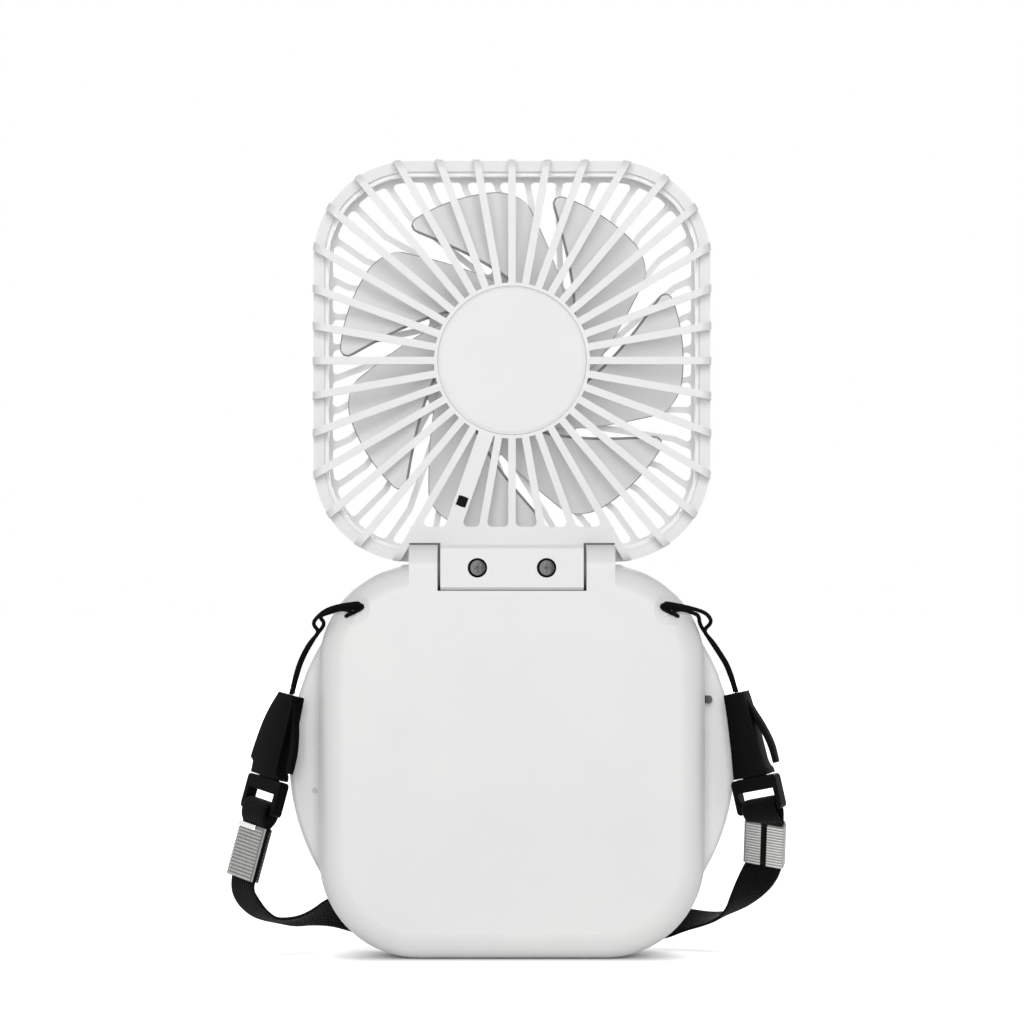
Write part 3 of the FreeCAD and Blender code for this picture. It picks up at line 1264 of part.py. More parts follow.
def buckle_socket(side, place):
    # Tapered sleeve with one bowed release arm on its flank
    name = side + "_buckle_socket"
    body = new_body(name + "_body")
    top_w, low_w = size("socket_top").number, size("socket_bottom").number
    length = size("socket_length").number
    sketch = sketch_on(body, "XZ_Plane", name + "_core", -(size("buckle_depth") / 2))
    draw_outline(sketch, [(-top_w, 0), (-top_w * 1.5, -length * 0.3), (-low_w, -length * 0.75), (-low_w, -length),
                          (low_w, -length), (top_w * 1.3, -length * 0.3), (top_w, 0)])
    core = pad(body, sketch, size("buckle_depth"), name + "_core_pad")
    doc.recompute()
    long_edges = level_edges(core.Shape, "Y", size("buckle_depth").number / 2)
    long_edges += level_edges(core.Shape, "Y", -size("buckle_depth").number / 2)
    fillet(body, core, long_edges, size("socket_round"), name + "_core_round")
    for flank in (1,):
        sketch = sketch_on(body, "XZ_Plane", name + "_arm_%d" % (flank + 1), -(size("arm_depth") / 2))
        out = low_w + size("frame_rail").number + 0.9
        width = size("arm_width").number
        root_z = -length * 0.27
        end_z = -length * 0.89
        root_x = top_w * 1.3 + width * 0.5
        outer = Part.Arc(Vec(flank * root_x, root_z, 0), Vec(flank * out * 0.93, -length * 0.58, 0),
                         Vec(flank * out, end_z, 0))
        inner = Part.Arc(Vec(flank * (root_x - width), root_z - width * 1.6, 0),
                         Vec(flank * (out * 0.93 - width), -length * 0.58 - width * 0.4, 0),
                         Vec(flank * (out - width), end_z, 0))
        sketch.addGeometry([
            outer,
            Part.LineSegment(Vec(flank * out, end_z, 0), Vec(flank * (out - width), end_z, 0)),
            inner,
            Part.LineSegment(Vec(flank * (root_x - width), root_z - width * 1.6, 0), Vec(flank * root_x, root_z, 0)),
        ])
        pad(body, sketch, size("arm_depth"), name + "_arm_pad_%d" % (flank + 1))
    sketch = sketch_on(body, "XZ_Plane", name + "_bore",
                       -(size("tongue_depth") / 2 + size("tongue_fit")))
    half = size("tongue_width") / 2 + size("tongue_fit")
    draw_box(sketch, -half, half, socket_low - 1.0, socket_low + size("tongue_length") + size("tongue_fit"))
    pocket(body, sketch, size("tongue_depth") + size("tongue_fit") * 2, name + "_bore_cut", reverse=True)
    body.Placement = place
    finish(name, body)


def buckle_plug(side, place):
    # Strap frame with a round cross bar and the tongue that clicks into the sleeve
    name = side + "_buckle_plug"
    body = new_body(name + "_body")
    sketch = sketch_on(body, "XZ_Plane", name + "_frame", -(size("frame_depth") / 2))
    draw_rounded(sketch, size("frame_width") / 2, frame_low, frame_top, size("frame_bar_radius"))
    pad(body, sketch, size("frame_depth"), name + "_frame_pad")
    sketch = sketch_on(body, "XZ_Plane", name + "_window", -(size("frame_depth") / 2))
    half = size("frame_width") / 2 - size("frame_rail")
    draw_box(sketch, -half, half, frame_low - 1.0, frame_top - size("frame_head"))
    pocket(body, sketch, size("frame_depth"), name + "_window_cut", reverse=True)
    sketch = sketch_on(body, "YZ_Plane", name + "_bar")
    draw_circle(sketch, 0, bar_z, size("frame_bar_radius"))
    pad(body, sketch, size("frame_width") - size("frame_rail"), name + "_bar_pad", even=True)
    sketch = sketch_on(body, "XZ_Plane", name + "_tongue", -(size("tongue_depth") / 2))
    half = size("tongue_width").number / 2
    top = (frame_top + size("tongue_length")).number
    draw_outline(sketch, [(-half, frame_top.number - 1), (half, frame_top.number - 1), (half, top - half),
                          (half * 0.55, top), (-half * 0.55, top), (-half, top - half)])
    pad(body, sketch, size("tongue_depth"), name + "_tongue_pad")
    body.Placement = place
    finish(name, body)


def strap_crimp(side, place, seam_front):
    # Folded metal ferrule, open along one seam in its face or at its edge
    name = side + "_strap_crimp"
    body = new_body(name + "_body")
    half_x = size("crimp_width") / 2
    half_y = size("strap_thickness") + size("crimp_fit") + size("crimp_wall")
    sketch = sketch_on(body, "XY_Plane", name + "_outer", crimp_low)
    draw_rounded(sketch, half_x, -half_y, half_y, size("crimp_wall") * 1.5)
    pad(body, sketch, size("crimp_length"), name + "_outer_pad")
    sketch = sketch_on(body, "XY_Plane", name + "_inner", crimp_low)
    draw_box(sketch, -(size("strap_width") / 2 + size("crimp_fit")), size("strap_width") / 2 + size("crimp_fit"),
             -(half_y - size("crimp_wall")), half_y - size("crimp_wall"))
    pocket(body, sketch, size("crimp_length"), name + "_inner_cut", reverse=True)
    sketch = sketch_on(body, "XY_Plane", name + "_seam", crimp_low)
    seam_half = size("crimp_seam") / 2
    if seam_front:
        draw_box(sketch, -seam_half, seam_half, -(half_y * 1.5), -(size("strap_thickness") * 0.5))
    else:
        draw_box(sketch, size("strap_width") / 2, half_x * 1.5, -(seam_half * 1.1), seam_half * 1.1)
    pocket(body, sketch, size("crimp_length"), name + "_seam_cut", reverse=True)
    body.Placement = place
    finish(name, body)


def band_corners(points, across, width, thickness):
    # Four corners of a flat band at each middle, with the direction of its width there
    corners = []
    count = len(points)
    for index in range(count):
        along = Vec(0, 0, 0)
        if index > 0:
            along += (points[index] - points[index - 1]).normalize()
        if index < count - 1:
            along += (points[index + 1] - points[index]).normalize()
        along.normalize()
        wide = across[index] - along * across[index].dot(along)
        wide.normalize()
        flat = along.cross(wide)
        w = wide * (width / 2)
        t = flat * (thickness / 2)
        middle = points[index]
        corners.append([middle - w - t, middle + w - t, middle + w + t, middle - w + t])
    return corners


def folded_band(points, across, width, thickness):
    # Straight from each middle to the next, for tight folds
    wires = [Part.makePolygon(four + four[:1]) for four in band_corners(points, across, width, thickness)]
    return Part.makeLoft(wires, True, True)


def ribbon(points, across, width, thickness):
    # Smooth band: a curve along each of its four corners, ruled faces between them and two flat ends
    corners = band_corners(points, across, width, thickness)
    marks = [0.0]
    for index in range(1, len(points)):
        marks.append(marks[-1] + (points[index] - points[index - 1]).Length)
    rails = []
    for corner in range(4):
        curve = Part.BSplineCurve()
        curve.interpolate(Points=[four[corner] for four in corners], Parameters=marks)
        rails.append(curve)
    faces = []
    for corner in range(4):
        near = rails[corner]
        far = rails[(corner + 1) % 4]
        poles = [[a, b] for a, b in zip(near.getPoles(), far.getPoles())]
        side = Part.BSplineSurface()
        side.buildFromPolesMultsKnots(poles, near.getMultiplicities(), [2, 2], near.getKnots(), [0, 1],
                                      False, False, near.Degree, 1)
        faces.append(side.toShape())
    for four in (corners[0], corners[-1]):
        faces.append(Part.Face(Part.makePolygon(four + four[:1])))
    shell = Part.makeShell(faces)
    shell.sewShape()
    band = Part.makeSolid(shell)
    if band.Volume < 0:
        band.reverse()
    return band


def about_bar(back, turn, drop):
    # Swung back about the plug's bar, then turned across it at a drop below it
    swing = Place(Vec(0, 0, bar_z.number), Rot(Vec(1, 0, 0), back))
    lean = Place(Vec(0, 0, -drop), Rot(Vec(0, 1, 0), turn))
    return swing.multiply(lean).multiply(Place(Vec(0, 0, drop - bar_z.number), Rot()))


def strap_loop(side, place, fold, hang):
    # Strap end folded over the plug's bar, both layers held in the ferrule
    name = side + "_strap_loop"
    thick = size("strap_thickness").number
    ring = size("frame_bar_radius").number + 0.16 + thick / 2
    levels = [crimp_low.number, crimp_top.number, crimp_top.number + 0.5]
    lay = thick / 2 + 0.01
    wide_bar = Vec(1, 0, 0)
    wide_hang = hang.Rotation.multVec(wide_bar)
    points = [hang.multVec(Vec(0, -lay, level)) for level in levels]
    across = [wide_hang] * len(levels)
    for step in range(9):
        angle = math.radians(190 - 200 * step / 8.0)
        points.append(fold.multVec(Vec(0, ring * math.cos(angle), bar_z.number + ring * math.sin(angle))))
        across.append(wide_bar)
    points += [hang.multVec(Vec(0, lay, level)) for level in reversed(levels)]
    across += [wide_hang] * len(levels)
    shape = folded_band(points, across, size("strap_width").number, thick)
    shape.Placement = place
    item = made(name, shape)
    finish(name, item)


left_hang = about_bar(0, 0, 0)
right_fold = about_bar(size("right_hang_back").number, 0, 0)
right_hang = about_bar(size("right_hang_back").number, size("right_hang_turn").number, size("right_hang_drop").number)
left_ferrule = left_place.multiply(left_hang)
right_ferrule = right_place.multiply(right_hang)

buckle_socket("left", left_place)
buckle_plug("left", left_place)
strap_crimp("left", left_ferrule, False)
strap_loop("left", left_place, left_hang, left_hang)
buckle_socket("right", right_place)
buckle_plug("right", right_place)
strap_crimp("right", right_ferrule, True)
strap_loop("right", right_place, right_fold, right_hang)


# Lanyard cords: straight runs and tangent arcs, from the socket up and round the shoulder bar and back
def route(points, label):
    edges = []
    radii = []
    last = points[0]
    for index in range(1, len(points) - 1):
        here = points[index]
        to_before = points[index - 1] - here
        to_after = points[index + 1] - here
        short = min(to_before.Length, to_after.Length)
        to_before.normalize()
        to_after.normalize()
        bend = math.pi - to_before.getAngle(to_after)
        reach = 0.45 * short
        start = here + to_before * reach
        end = here + to_after * reach
        radius = reach / math.tan(bend / 2)
        inward = to_before + to_after
        inward.normalize()
        centre = here + inward * math.sqrt(radius * radius + reach * reach)
        middle = centre - inward * radius
        edges.append(Part.LineSegment(last, start).toShape())
        edges.append(Part.Arc(start, middle, end).toShape())
        radii.append(radius)
        last = end
    edges.append(Part.LineSegment(last, points[-1]).toShape())
    print(label, "radii mm", [round(value, 1) for value in radii])
    return Part.Wire(edges)


def tube(wire, radius, label):
    first = wire.Edges[0]
    start = first.valueAt(first.FirstParameter)
    direction = first.tangentAt(first.FirstParameter)
    ring = Part.Wire(Part.makeCircle(radius, start, direction))
    shape = wire.makePipeShell([ring], True, False)
    wanted = math.pi * radius * radius * wire.Length
    print(label, "length mm", round(wire.Length, 1), "volume over section times length",
          round(shape.Volume / wanted, 3))
    return shape


def cord_points(side, place):
    # Up from the socket, round the shoulder bar and back; the two runs part to leave a small eye at the shoulder
    sign = -1 if side == "left" else 1
    bar = Vec(size("scoop_x").number * sign, (y_front + size("bar_depth")).number, size("scoop_height").number)
    turn_reach = size("bar_radius").number + size("cord_diameter").number / 2 + 0.15
    tangent = Vec(-sign, 0, 1)
    tangent.normalize()
    up = place.Rotation.multVec(Vec(0, 0, 1))
    apart = Vec(0, size("cord_diameter").number * 0.6, 0)
    seat = place.Base + up * 0.12
    middle = place.Base + up * 6.0 + Vec(-sign * 0.35, 0, 0)
    over = Vec(0, -2.6, 0)
    under = Vec(0, turn_reach, 0)
    high = bar + tangent * turn_reach
    low = bar - tangent * turn_reach
    span = bar - seat

    def between(across, through, rise):
        return seat + Vec(span.x * across, span.y * through, span.z * rise)

    return [seat - apart, middle - apart, between(0.26, 0.2, 0.54), between(0.33, 0.5, 0.78),
            between(0.44, 0.87, 0.99), between(0.74, 1.22, 1.05), high + over, high + under, low + under, low + over,
            between(0.7, 1.19, 0.96), between(0.5, 0.42, 0.82), between(0.29, 0.05, 0.54), middle + apart,
            seat + apart]


for side, place in (("left", left_place), ("right", right_place)):
    name = side + "_cord"
    path = route(cord_points(side, place), name)
    finish(name, made(name, tube(path, size("cord_diameter").number / 2, name)))

# Strap stretches from the ferrules to the roll behind the base
roll_outer = size("roll_inner") + size("roll_pitch") * (size("roll_turns") - 1)
roll_y = y_back + size("roll_gap") + roll_outer + size("strap_thickness")
roll_middle = Vec(0, roll_y.number, 0)
strap_rise = size("strap_width").number / 2 + 0.02
upright = Vec(0, 0, 1)


def strap_stretch(side, place, middles, widths):
    name = side + "_strap"
    lay = size("strap_thickness").number / 2 + 0.01
    start = place.multVec(Vec(0, lay, crimp_low.number - 0.05))
    next_point = place.multVec(Vec(0, lay, crimp_low.number - 1.8))
    first_wide = place.Rotation.multVec(Vec(1, 0, 0))
    points = [start, next_point] + middles
    across = [first_wide, first_wide] + widths
    length = sum((points[index + 1] - points[index]).Length for index in range(len(points) - 1))
    print(name, "length mm", round(length, 1))
    finish(name, made(name, ribbon(points, across, size("strap_width").number, size("strap_thickness").number)))
    return length


left_end = roll_middle + Vec(-size("roll_pitch").number / 2 - roll_outer.number, 0, strap_rise)
right_end = roll_middle + Vec(size("roll_pitch").number / 2, -roll_outer.number, strap_rise)
left_low = left_ferrule.multVec(Vec(0, 0, crimp_low.number))
right_low = right_ferrule.multVec(Vec(0, 0, crimp_low.number))
print("ferrule ends", left_low, right_low, "levels", crimp_low.number, crimp_top.number, bar_z.number)


def falling(end, x, y, share):
    # Point of a strap whose height is a share of the ferrule's
    return Vec(x, y, end.z * share)


left_middles = [falling(left_low, -64.4, -3.3, 0.73), falling(left_low, -61.8, -1.6, 0.55),
                falling(left_low, -59.0, 0.6, 0.45), falling(left_low, -54.2, 4.2, 0.425),
                falling(left_low, -50.6, 7.4, 0.44), falling(left_low, -46.6, 12.0, 0.505),
                falling(left_low, -42.8, 17.2, 0.505), falling(left_low, -39.4, 22.8, 0.43),
                falling(left_low, -35.4, 28.8, 0.333), Vec(-30.9, 34.6, strap_rise + 0.25), left_end - Vec(0.35, 4.0, 0),
                left_end - Vec(0, 0.6, 0), left_end - Vec(0, 0.03, 0)]
left_widths = [Vec(0.74, -0.66, 0.02), Vec(0.68, -0.73, 0.03), Vec(0.64, -0.77, 0.02), Vec(0.55, -0.8, 0.22),
               Vec(0.42, -0.74, 0.5), Vec(0.3, -0.55, 0.77), Vec(0.15, -0.35, 0.92), Vec(0.05, -0.15, 0.98)]
left_widths += [upright] * 5
right_middles = [falling(right_low, 57.0, 8.0, 0.63), falling(right_low, 54.8, 9.8, 0.48),
                 falling(right_low, 51.5, 11.8, 0.38), falling(right_low, 47.4, 13.9, 0.337),
                 falling(right_low, 43.0, 15.8, 0.323), falling(right_low, 37.5, 17.3, 0.297),
                 falling(right_low, 31.0, 18.0, 0.257), Vec(23.0, 18.2, strap_rise + 0.28),
                 Vec(12.0, right_end.y - 0.35, strap_rise), right_end + Vec(1.0, 0, 0), right_end + Vec(0.03, 0, 0)]
right_widths = [Vec(0.87, 0.45, 0.0), Vec(0.6, 0.75, 0.05), Vec(0.42, 0.89, 0.18), Vec(0.42, 0.84, 0.34),
                Vec(0.32, 0.75, 0.58), Vec(0.15, 0.4, 0.9), Vec(0.05, 0.12, 0.99)]
right_widths += [upright] * 4
left_length = strap_stretch("left", left_ferrule, left_middles, left_widths)
right_length = strap_stretch("right", right_ferrule, right_middles, right_widths)


# Roll: two strands wound together from an S in the middle, each of half circles that widen by one pitch
def roll_arcs():
    pitch = size("roll_pitch").number
    turns = int(size("roll_turns").number)
    arcs = []
    first = []
    for index in range(turns):
        upper = index % 2 == 0
        centre = Vec(-pitch / 2 if upper else pitch / 2, 0, 0)
        first.append((centre, size("roll_inner").number + index * pitch, 0 if upper else 180, 180))
    second = []
    for index in range(turns):
        lower = index % 2 == 0
        centre = Vec(pitch / 2 if lower else -pitch / 2, 0, 0)
        sweep = 90 if index == turns - 1 else 180
        second.append((centre, size("roll_inner").number + index * pitch, 180 if lower else 0, sweep))
    small = (size("roll_inner").number - pitch / 2) / 2
    for centre, radius, start, sweep in reversed(second):
        arcs.append((centre, radius, start + sweep, -sweep))
    arcs.append((Vec(-small, 0, 0), small, 180, -180))
    arcs.append((Vec(small, 0, 0), small, 180, 180))
    arcs += first
    return arcs


def on_arc(centre, radius, angle):
    return centre + Vec(radius * math.cos(math.radians(angle)), radius * math.sin(math.radians(angle)), 0)


def roll_edge(offset):
    # One face of the strap: every arc moved sideways by the offset
    edges = []
    for centre, radius, start, sweep in roll_arcs():
        moved = radius + offset * (1 if sweep > 0 else -1)
        edges.append(Part.Arc(on_arc(centre, moved, start), on_arc(centre, moved, start + sweep / 2),
                              on_arc(centre, moved, start + sweep)).toShape())
    return edges


half_thick = size("strap_thickness").number / 2
outer_edges = roll_edge(half_thick)
inner_edges = roll_edge(-half_thick)
caps = [Part.makeLine(outer_edges[0].Vertexes[0].Point, inner_edges[0].Vertexes[0].Point),
        Part.makeLine(outer_edges[-1].Vertexes[-1].Point, inner_edges[-1].Vertexes[-1].Point)]
roll_wire = Part.Wire(Part.__sortEdges__(outer_edges + inner_edges + caps))
roll_shape = Part.Face(roll_wire).extrude(Vec(0, 0, size("strap_width").number))
roll_shape.translate(roll_middle + Vec(0, 0, 0.02))
finish("strap_roll", made("strap_roll", roll_shape))
roll_points = []
roll_length = 0.0
for centre, radius, start, sweep in roll_arcs():
    steps = max(int(abs(math.radians(sweep)) * radius / 2.0), 4)
    roll_length += abs(math.radians(sweep)) * radius
    for step in range(steps):
        roll_points.append(on_arc(centre, radius, start + sweep * step / steps))
least = 1e9
for first_index in range(len(roll_points)):
    for second_index in range(first_index + 8, len(roll_points)):
        least = min(least, roll_points[first_index].distanceToPoint(roll_points[second_index]))
print("strap roll length mm", round(roll_length, 1), "least gap mm", round(least - 2 * half_thick, 2))
print("strap length in all mm", round(roll_length + left_length + right_length, 1))

# Checks and files
doc.recompute()
for item in doc.Objects:
    if "Invalid" in item.State or "Error" in item.State:
        raise RuntimeError("not built: %s" % item.Label)
os.makedirs("parts", exist_ok=True)
for label, item in nodes.items():
    shape = item.Shape
    if shape.isNull() or not shape.isValid() or not shape.Solids:
        raise RuntimeError("bad shape: %s" % label)
    box_of = shape.BoundBox
    print("%-22s solids %3d volume %9.1f  x %.1f..%.1f y %.1f..%.1f z %.1f..%.1f" % (
        label, len(shape.Solids), shape.Volume, box_of.XMin, box_of.XMax, box_of.YMin, box_of.YMax,
        box_of.ZMin, box_of.ZMax))
for label, item in nodes.items():
    item.Shape.exportStep("parts/%s.step" % label)
print("nodes", len(nodes))
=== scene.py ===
import json
import math

import bmesh
import bpy
from mathutils import Matrix, Vector


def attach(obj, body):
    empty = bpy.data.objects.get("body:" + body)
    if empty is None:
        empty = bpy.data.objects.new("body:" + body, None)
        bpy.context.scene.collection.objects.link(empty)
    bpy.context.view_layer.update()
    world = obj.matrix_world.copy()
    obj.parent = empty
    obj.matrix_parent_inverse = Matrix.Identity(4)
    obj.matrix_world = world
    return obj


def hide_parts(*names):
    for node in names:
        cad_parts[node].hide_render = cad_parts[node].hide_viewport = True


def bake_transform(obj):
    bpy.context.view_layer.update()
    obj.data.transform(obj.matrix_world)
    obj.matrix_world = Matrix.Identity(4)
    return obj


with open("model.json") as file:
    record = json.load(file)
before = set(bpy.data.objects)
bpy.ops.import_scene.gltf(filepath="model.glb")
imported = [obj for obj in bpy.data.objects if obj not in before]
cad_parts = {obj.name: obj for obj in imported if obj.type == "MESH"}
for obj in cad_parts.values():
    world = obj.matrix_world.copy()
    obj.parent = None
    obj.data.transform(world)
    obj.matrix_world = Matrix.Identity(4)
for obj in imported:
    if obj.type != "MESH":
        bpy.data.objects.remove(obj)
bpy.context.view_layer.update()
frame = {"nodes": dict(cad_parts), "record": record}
nodes = frame["nodes"]
scene = bpy.context.scene
scene.view_settings.view_transform = "Standard"
mm = 0.001
print("frame loaded,", len(nodes), "nodes")


def toLinear(hexText):
    # sRGB hex to the linear colour that shaders take
    channels = []
    for start in (1, 3, 5):
        value = int(hexText[start:start + 2], 16) / 255
        channels.append(value / 12.92 if value <= 0.04045 else ((value + 0.055) / 1.055) ** 2.4)
    return (*channels, 1.0)


def addNode(tree, kind, values=None, links=None, **settings):
    node = tree.nodes.new(kind)
    for key, value in settings.items():
        setattr(node, key, value)
    for key, value in (values or {}).items():
        node.inputs[key].default_value = value
    for key, source in (links or {}).items():
        tree.links.new(source, node.inputs[key])
    return node


def mathNode(tree, operation, *terms):
    # Each term is a number or the output of another node
    node = addNode(tree, "ShaderNodeMath", operation=operation)
    for index, term in enumerate(terms):
        if isinstance(term, bpy.types.NodeSocket):
            tree.links.new(term, node.inputs[index])
        else:
            node.inputs[index].default_value = term
    return node.outputs[0]


def axisNode(tree, **axes):
    return addNode(tree, "ShaderNodeCombineXYZ", links=axes).outputs["Vector"]


def newMaterial(name, **sockets):
    # Principled shader with its constants on its own sockets, and the tree to add patterns to
    material = bpy.data.materials.new(name)
    material.use_nodes = True
    tree = material.node_tree
    tree.nodes.clear()
    shader = addNode(tree, "ShaderNodeBsdfPrincipled")
    for key, value in sockets.items():
        shader.inputs[key.replace("_", " ")].default_value = value
    addNode(tree, "ShaderNodeOutputMaterial", links={"Surface": shader.outputs["BSDF"]})
    return material, tree, shader


def noiseNode(tree, place, sizeMm, detail):
    values = {"Scale": 1 / (sizeMm * mm), "Detail": detail}
    return addNode(tree, "ShaderNodeTexNoise", values, {"Vector": place}).outputs["Fac"]


def twoTone(tree, shader, source, finish, positions):
    # Base colour, from the finish's shade at the first position to its full colour at the second
    ramp = addNode(tree, "ShaderNodeValToRGB", links={"Fac": source})
    for index, tone in enumerate(("shade", "colour")):
        ramp.color_ramp.elements[index].position = positions[index]
        ramp.color_ramp.elements[index].color = toLinear(finish[tone])
    tree.links.new(ramp.outputs["Color"], shader.inputs["Base Color"])


def grained(tree, shader, grain, finish, look, strength):
    # Uneven gloss and a fine bump, both from the same grain
    low, high = look["glossSpread"]
    limits = {"To Min": finish["rough"] + low, "To Max": finish["rough"] + high}
    gloss = addNode(tree, "ShaderNodeMapRange", limits, {"Value": grain})
    depth = finish["grainMm"] * mm * look["bumpShare"]
    bump = addNode(tree, "ShaderNodeBump", {"Strength": strength, "Distance": depth}, {"Height": grain})
    tree.links.new(gloss.outputs["Result"], shader.inputs["Roughness"])
    tree.links.new(bump.outputs["Normal"], shader.inputs["Normal"])


# How each kind of finish varies about its own values
plasticLook = {"flowDetail": 2.0, "tones": (0.3, 0.7), "grainDetail": 3.0, "glossSpread": (-0.05, 0.05),
               "bumpShare": 0.1}
metalLook = {"tones": (0.3, 0.75), "grainDetail": 4.0, "glossSpread": (-0.08, 0.1), "bumpShare": 0.1,
             "bump": 0.15}


def mouldedPlastic(name, finish):
    # Injection-moulded plastic: even colour with a faint flow shade, fine eroded grain in the gloss
    material, tree, shader = newMaterial(name, IOR=finish["ior"], Specular_IOR_Level=finish["specular"])
    place = addNode(tree, "ShaderNodeTexCoord").outputs["Object"]
    flow = noiseNode(tree, place, finish["flowMm"], plasticLook["flowDetail"])
    twoTone(tree, shader, flow, finish, plasticLook["tones"])
    grain = noiseNode(tree, place, finish["grainMm"], plasticLook["grainDetail"])
    grained(tree, shader, grain, finish, plasticLook, finish["bump"])
    return material


# ABS, spark-eroded mould: soft satin white; grain is drawn at 0.5 mm, coarser than life, so that it shows
whitePlastic = mouldedPlastic("satin_white_abs", {
    "colour": "#EBEBEA", "shade": "#E8E8E8", "flowMm": 24, "grainMm": 0.5, "rough": 0.42, "ior": 1.54,
    "specular": 0.42, "bump": 0.12})
# Front guard and round back: the housing's white plastic painted lighter, as painted light against the shade
# in the cage and behind the pod
lightenedWhitePlastic = mouldedPlastic("white_plastic_painted_lighter", {
    "colour": "#FAFAFA", "shade": "#F6F6F6", "flowMm": 20, "grainMm": 0.5, "rough": 0.4, "ior": 1.49,
    "specular": 0.42, "bump": 0.1})
# Polypropylene blades: smoother than the housing; their edges are painted grey, as shade along each blade's
# outline
bladePlastic = mouldedPlastic("white_polypropylene", {
    "colour": "#F6F6F6", "shade": "#EFEFEF", "flowMm": 18, "grainMm": 0.6, "rough": 0.36, "ior": 1.49,
    "specular": 0.42, "bump": 0.06})
bladeEdgeShade = mouldedPlastic("blade_edge_painted_shade", {
    "colour": "#A2A2A2", "shade": "#949494", "flowMm": 6, "grainMm": 0.4, "rough": 0.5, "ior": 1.49,
    "specular": 0.2, "bump": 0.1})
# Acetal buckles: deep black with a dull moulded sheen
blackPlastic = mouldedPlastic("black_acetal", {
    "colour": "#060607", "shade": "#040405", "flowMm": 9, "grainMm": 0.3, "rough": 0.46, "ior": 1.48,
    "specular": 0.07, "bump": 0.25})
# Dark grey in the hinge: painted shade, so that the running gaps read as fine dark lines
hingeGapShade = mouldedPlastic("hinge_gap_painted_shade", {
    "colour": "#6C6C6D", "shade": "#626263", "flowMm": 4, "grainMm": 0.3, "rough": 0.5, "ior": 1.53,
    "specular": 0.2, "bump": 0.1})
print("plastics made")


def plainMetal(name, finish):
    # Metal with a worn, uneven gloss: fine scratches stretched along one direction
    material, tree, shader = newMaterial(name, Metallic=1.0)
    place = addNode(tree, "ShaderNodeTexCoord").outputs["Object"]
    drawn = addNode(tree, "ShaderNodeMapping", {"Scale": finish["stretch"]}, {"Vector": place})
    scratch = noiseNode(tree, drawn.outputs["Vector"], finish["grainMm"], metalLook["grainDetail"])
    twoTone(tree, shader, scratch, finish, metalLook["tones"])
    grained(tree, shader, scratch, finish, metalLook, metalLook["bump"])
    return material


# Zinc-plated steel ferrules: pale dull grey ribs; the ferrule under them is a darker copy, painted shade in
# the grooves between the pressed ribs
crimpSteel = plainMetal("zinc_plated_steel", {
    "colour": "#BABAB8", "shade": "#A4A4A2", "grainMm": 0.4, "rough": 0.5, "stretch": (1, 1, 0.2)})
grooveShadeSteel = plainMetal("zinc_plated_steel_painted_groove_shade", {
    "colour": "#8E8E8C", "shade": "#7C7C7A", "grainMm": 0.4, "rough": 0.55, "stretch": (1, 1, 0.2)})
# A near-white copy for the ferrule's top lip: painted highlight
lipHighlightSteel = plainMetal("zinc_plated_steel_painted_lip_highlight", {
    "colour": "#F4F4F3", "shade": "#E9E9E8", "grainMm": 0.5, "rough": 0.3, "stretch": (0.2, 1, 1)})
# Blackened screws: dark grey with rubbed highlights
screwSteel = plainMetal("blackened_steel", {
    "colour": "#8C8C8D", "shade": "#6A6A6C", "grainMm": 0.3, "rough": 0.38, "stretch": (1, 0.2, 1)})
# Ground steel: the motor's shaft and the hinge's pins
brightSteel = plainMetal("ground_steel", {
    "colour": "#CFCFCE", "shade": "#B8B8B7", "grainMm": 0.3, "rough": 0.28, "stretch": (1, 0.2, 1)})
# Inside the motor and the base: stamped laminations, enamelled windings, bearing, foil-wrapped cell
laminationSteel = plainMetal("silicon_steel_laminations", {
    "colour": "#8F9092", "shade": "#77787A", "grainMm": 0.35, "rough": 0.5, "stretch": (0.1, 1, 0.1)})
copperWire = plainMetal("enamelled_copper", {
    "colour": "#C8743A", "shade": "#A85A28", "grainMm": 0.25, "rough": 0.3, "stretch": (0.3, 1, 0.3)})
bronze = plainMetal("sintered_bronze", {
    "colour": "#B08A52", "shade": "#8E6D3E", "grainMm": 0.2, "rough": 0.5, "stretch": (1, 1, 1)})
batteryFoil = plainMetal("aluminium_laminate", {
    "colour": "#D4D5D6", "shade": "#BFC0C2", "grainMm": 1.5, "rough": 0.34, "stretch": (1, 1, 0.3)})
# Moulded and coated small parts: magnet ring, lead's sleeve (whose black also paints the shadow ring round
# the hinge screws), board's solder mask, light's frosted guide
ferrite = mouldedPlastic("ferrite_magnet", {
    "colour": "#3A3A3C", "shade": "#2E2E30", "flowMm": 5, "grainMm": 0.2, "rough": 0.6, "ior": 1.6,
    "specular": 0.5, "bump": 0.3})
leadSleeveAndRingShade = mouldedPlastic("black_pvc_sleeve_and_ring_shade", {
    "colour": "#070707", "shade": "#050505", "flowMm": 6, "grainMm": 0.4, "rough": 0.6, "ior": 1.53,
    "specular": 0.08, "bump": 0.1})
boardLaminate = mouldedPlastic("green_solder_mask", {
    "colour": "#1F6B3A", "shade": "#185A30", "flowMm": 8, "grainMm": 0.4, "rough": 0.3, "ior": 1.5,
    "specular": 0.5, "bump": 0.1})
lightGuide = mouldedPlastic("frosted_acrylic", {
    "colour": "#C9CCCE", "shade": "#BEC2C4", "flowMm": 3, "grainMm": 0.3, "rough": 0.3, "ior": 1.49,
    "specular": 0.5, "bump": 0.05})
print("metals and small finishes made")
